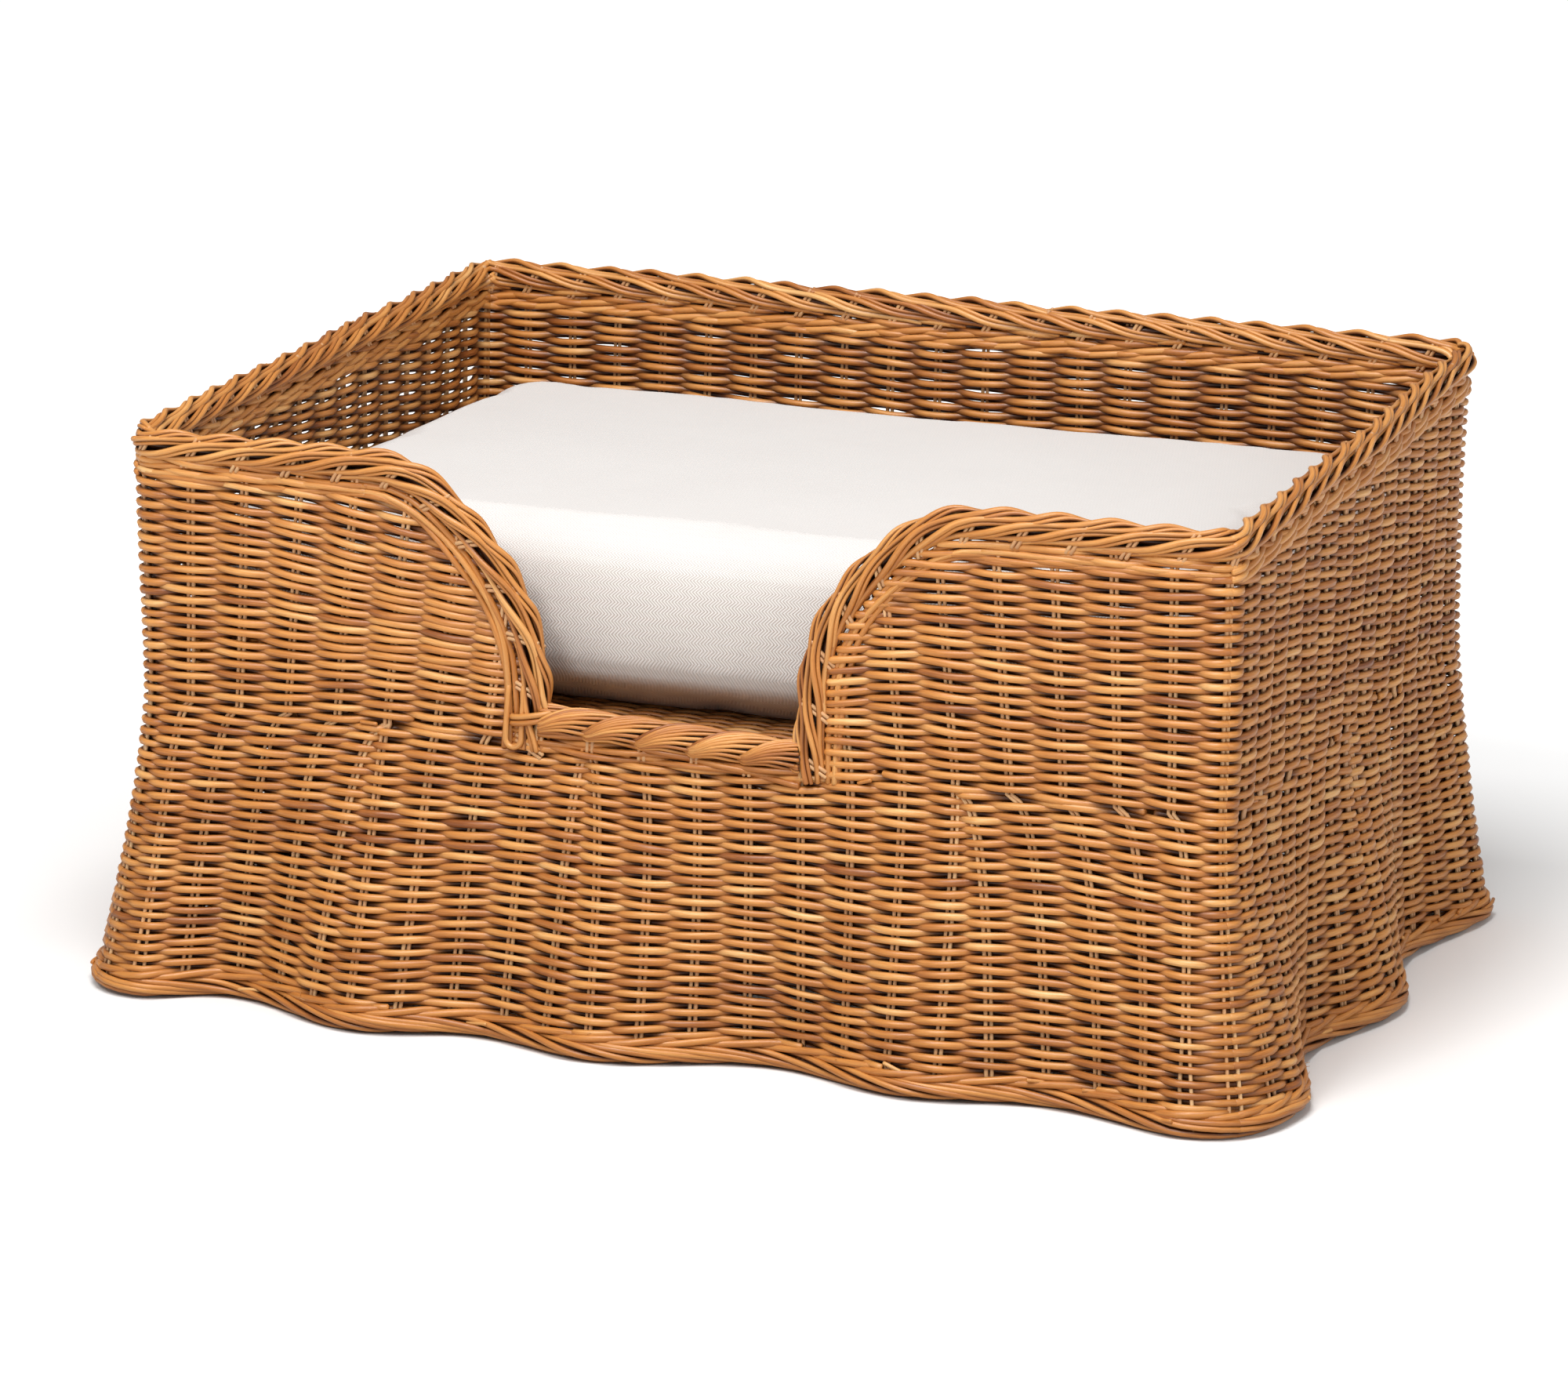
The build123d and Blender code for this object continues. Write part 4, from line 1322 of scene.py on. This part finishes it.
def build_cushion():
    low, high = box_mm("cushion_filling", "cover_top", "cover_boxing", "cover_bottom")
    inset = CLOTH_INSET
    obj = bpy.data.objects.new("cushion_cover", cushion_shell(low, high, inset))
    bpy.context.scene.collection.objects.link(obj)
    remesh = obj.modifiers.new("Remesh", "REMESH")
    remesh.mode = "VOXEL"
    remesh.voxel_size = VOXEL * MM
    apply_all(obj)
    swell(obj)
    smooth = obj.modifiers.new("Subdivision", "SUBSURF")
    smooth.levels = 1
    smooth.render_levels = 1
    apply_all(obj)
    points = sew(coordinates(obj.data) / MM, low, high)
    obj.data.vertices.foreach_set("co", (points * MM).ravel())
    obj.data.polygons.foreach_set("use_smooth", np.ones(len(obj.data.polygons), bool))
    obj.data.update()
    obj.data.materials.clear()
    obj.data.materials.append(COTTON)
    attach(obj, "cushion")
    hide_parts("cushion_filling", "cover_top", "cover_boxing", "cover_bottom")


# How far the cover lies flat round the zip tape, and how softly that ends
ZIP_MARGIN, ZIP_FADE = 14.0, 12.0


def sew(points, low, high):
    """Presses in both seams, adds soft unevenness, and keeps clear of the base, the walls and the zip."""
    centre = (low + high) / 2
    x, y, z = points[:, 0], points[:, 1], points[:, 2]
    away = unit(np.column_stack([x - centre[0], y - centre[1], 0 * z]))
    side = np.max(np.abs(points - centre)[:, :2] / (high - centre)[:2], axis=1)
    rim = ease((side - 0.85) / 0.1)
    for seam, depth in ((SEAM_BOTTOM, 1.5), (SEAM_TOP, 0.5)):
        press = depth * np.exp(-((z - low[2] - seam) / 3.2) ** 2) * rim
        points = points - away * press[:, None]
    high_up = ease((z - low[2] - 60) / 60)
    dents = 1.2 * np.sin(x / 57 + 1) * np.sin(y / 71) + 0.7 * np.sin(x / 29 - y / 37)
    dents += 0.5 * np.sin(y / 19 + x / 83)
    points[:, 2] += dents * high_up * (1 - rim)
    pucker = 0.7 * np.sin(x / 11.0 + 0.6 * np.sin(x / 37)) + 0.5 * np.sin(y / 13.0 + x / 90)
    points = points + away * (pucker * rim * np.exp(-((z - low[2] - SEAM_BOTTOM) / 16) ** 2))[:, None]
    points[:, 2] = np.clip(points[:, 2], low[2], high[2] + 2)
    points[:, 0] = np.clip(points[:, 0], low[0] - 3, high[0] + 3)
    points[:, 1] = np.clip(points[:, 1], low[1] - 3, high[1])
    zip_low, zip_high = box_mm("zip_tape")
    near_zip = ease((zip_high[0] + ZIP_MARGIN - np.abs(x)) / ZIP_FADE)
    near_zip *= ease((z - zip_low[2] + ZIP_MARGIN) / ZIP_FADE)
    near_zip *= ease((zip_high[2] + ZIP_MARGIN - z) / ZIP_FADE) * ease((y - high[1] + 18) / 6)
    points[:, 1] += (zip_low[1] - points[:, 1]) * near_zip
    return points


# ---------------------------------------------------------------- the zip
def build_zip():
    low, high = box_mm("zip_tape")
    tape = Bundle()
    ends = np.linspace(low[0] + 1, high[0] - 1, 260)
    rows = np.arange(low[2] + 0.6, high[2] - 0.3, 1.15)
    for index, z in enumerate(rows):
        y = np.full(260, low[1] + 0.35) + 0.08 * np.sin(ends / 0.9 + index * math.pi)
        path = np.column_stack([ends, y, np.full(260, z)])
        tape.reed(path, 0.62, 0.5 + 0.1 * (index % 2), up=(0, 1, 0), sides=5)
    for z in (low[2] + 3.2, high[2] - 3.2):
        for x in np.arange(low[0] + 3, high[0] - 3, 3.4):
            t = np.linspace(-1.1, 1.1, 4)
            tape.reed(np.column_stack([x + t, np.full(4, high[1] - 0.15), np.full(4, z)]), 0.3, 0.9, sides=5)
    tape.piece("zip_tape_woven", "cushion", "zip_tape_cloth", TAPE, ["zip_tape"])
    low, high = box_mm("zip_coil")
    coil = Bundle()
    middle = (low + high) / 2
    tall = high[2] - low[2]
    pitch, wire = 1.9, 0.42
    turns = (high[0] - low[0] - 2) / pitch
    for sign in (-1, 1):
        t = np.linspace(0, turns, int(turns * 9))
        x = low[0] + 1 + t * pitch + (0.5 * pitch if sign > 0 else 0)
        z = middle[2] + sign * tall * 0.22 + (tall * 0.28 - wire) * np.cos(TURN * t)
        y = middle[1] + ((high[1] - low[1]) / 2 - wire) * np.sin(TURN * t)
        coil.reed(np.column_stack([x, y, z]), wire, 0.5, up=(1, 0, 0.01), sides=5)
    coil.piece("zip_coil_teeth", "cushion", "zip_coil_nylon", NYLON, ["zip_coil"])
    for name in ("zip_slider", "zip_pull"):
        for slot in bpy.data.objects[name].material_slots:
            slot.material = BRASS


# ---------------------------------------------------------------- stage, light and camera
# Strength of the surround as a light, and the floor's colour to the camera and to the light it sends back
SOFT_LIGHT = 0.29
FLOOR_SEEN = (0.93, 0.93, 0.925)
FLOOR_BOUNCE = (0.55, 0.53, 0.50)


def build_stage():
    size = 6.0
    mesh = bpy.data.meshes.new("floor")
    corners = [(-size, -size, 0), (size, -size, 0), (size, size, 0), (-size, size, 0)]
    mesh.from_pydata(corners, [], [(0, 1, 2, 3)])
    floor = bpy.data.objects.new("floor", mesh)
    bpy.context.scene.collection.objects.link(floor)
    paper = Surface("floor_paper")
    seen = paper.nodes.new("ShaderNodeLightPath").outputs["Is Camera Ray"]
    paper.feed(paper.sockets["Base Color"], paper.mix("MIX", seen, FLOOR_BOUNCE, FLOOR_SEEN))
    paper.feed(paper.sockets["Roughness"], 0.9)
    paper.feed(paper.sockets["Emission Color"], (1, 1, 1))
    # Painted light: the floor glows, not at all within 0.45 m of the middle and more strongly further out,
    # so it stays white away from the basket while keeping the shadows near it.
    reach = paper.nodes.new("ShaderNodeVectorMath")
    reach.operation = "LENGTH"
    paper.feed(reach.inputs[0], paper.coordinates("Object"))
    glow = paper.nodes.new("ShaderNodeMapRange")
    paper.feed(glow.inputs["Value"], reach.outputs["Value"])
    paper.feed_all(glow.inputs, {"From Min": 0.45, "From Max": 1.5, "To Min": 0.0, "To Max": 0.72})
    paper.feed(paper.sockets["Emission Strength"], glow.outputs["Result"])
    mesh.materials.append(paper.material)
    build_world()


def build_world():
    """A white surround, gentler as a light than to look at, so that the gaps of the weave stay dark."""
    world = bpy.data.worlds.new("studio")
    world.use_nodes = True
    nodes, links = world.node_tree.nodes, world.node_tree.links
    soft = nodes["Background"]
    soft.inputs[0].default_value = (1, 1, 1, 1)
    soft.inputs[1].default_value = SOFT_LIGHT
    seen = nodes.new("ShaderNodeBackground")
    seen.inputs[0].default_value = (1, 1, 1, 1)
    seen.inputs[1].default_value = 1.0
    choice = nodes.new("ShaderNodeMixShader")
    links.new(nodes.new("ShaderNodeLightPath").outputs["Is Camera Ray"], choice.inputs[0])
    links.new(soft.outputs[0], choice.inputs[1])
    links.new(seen.outputs[0], choice.inputs[2])
    links.new(choice.outputs[0], nodes["World Output"].inputs[0])
    bpy.context.scene.world = world
    bpy.context.scene.view_settings.view_transform = "Standard"


def area_light(name, place, target, size, power):
    data = bpy.data.lights.new(name, "AREA")
    data.shape = "RECTANGLE"
    data.size, data.size_y = size
    data.energy = power
    light = bpy.data.objects.new(name, data)
    light.location = place
    light.rotation_euler = (Vector(target) - Vector(place)).to_track_quat("-Z", "Y").to_euler()
    bpy.context.scene.collection.objects.link(light)


def build_lights():
    middle = (0, 0, 0.2)
    area_light("key_light", (-0.4, -3.1, 2.7), middle, (0.9, 0.9), 50)
    area_light("fill_light", (3.0, -1.2, 1.5), middle, (1.4, 1.4), 19)
    area_light("top_light", (0.2, -1.4, 3.1), middle, (1.5, 1.5), 82)


CAMERA_AIM = Vector((-0.0256, 0, 0.1738))
CAMERA_DISTANCE = 4.174
CAMERA_AZIMUTH = 20.7
CAMERA_ELEVATION = 13.46
CAMERA_ROLL = 1.228
CAMERA_LENS = 140.3


def build_camera():
    azimuth, elevation = math.radians(CAMERA_AZIMUTH), math.radians(CAMERA_ELEVATION)
    right = Vector((math.cos(azimuth), math.sin(azimuth), 0))
    back = Vector((math.sin(azimuth) * math.cos(elevation), -math.cos(azimuth) * math.cos(elevation),
                   math.sin(elevation)))
    up = back.cross(right)
    turn = Matrix((right, up, back)).transposed()
    data = bpy.data.cameras.new("photo_camera")
    data.lens = CAMERA_LENS
    camera = bpy.data.objects.new("photo_camera", data)
    place = turn @ Matrix.Rotation(math.radians(CAMERA_ROLL), 3, "Z")
    camera.matrix_world = Matrix.Translation(CAMERA_AIM + back * CAMERA_DISTANCE) @ place.to_4x4()
    bpy.context.scene.collection.objects.link(camera)
    bpy.context.scene.camera = camera


build_walls()
build_stakes()
build_skirts()
build_waling()
build_hems()
build_rims()
build_sill()
build_poles()
build_mat()
build_cushion()
build_zip()
build_stage()
build_lights()
build_camera()
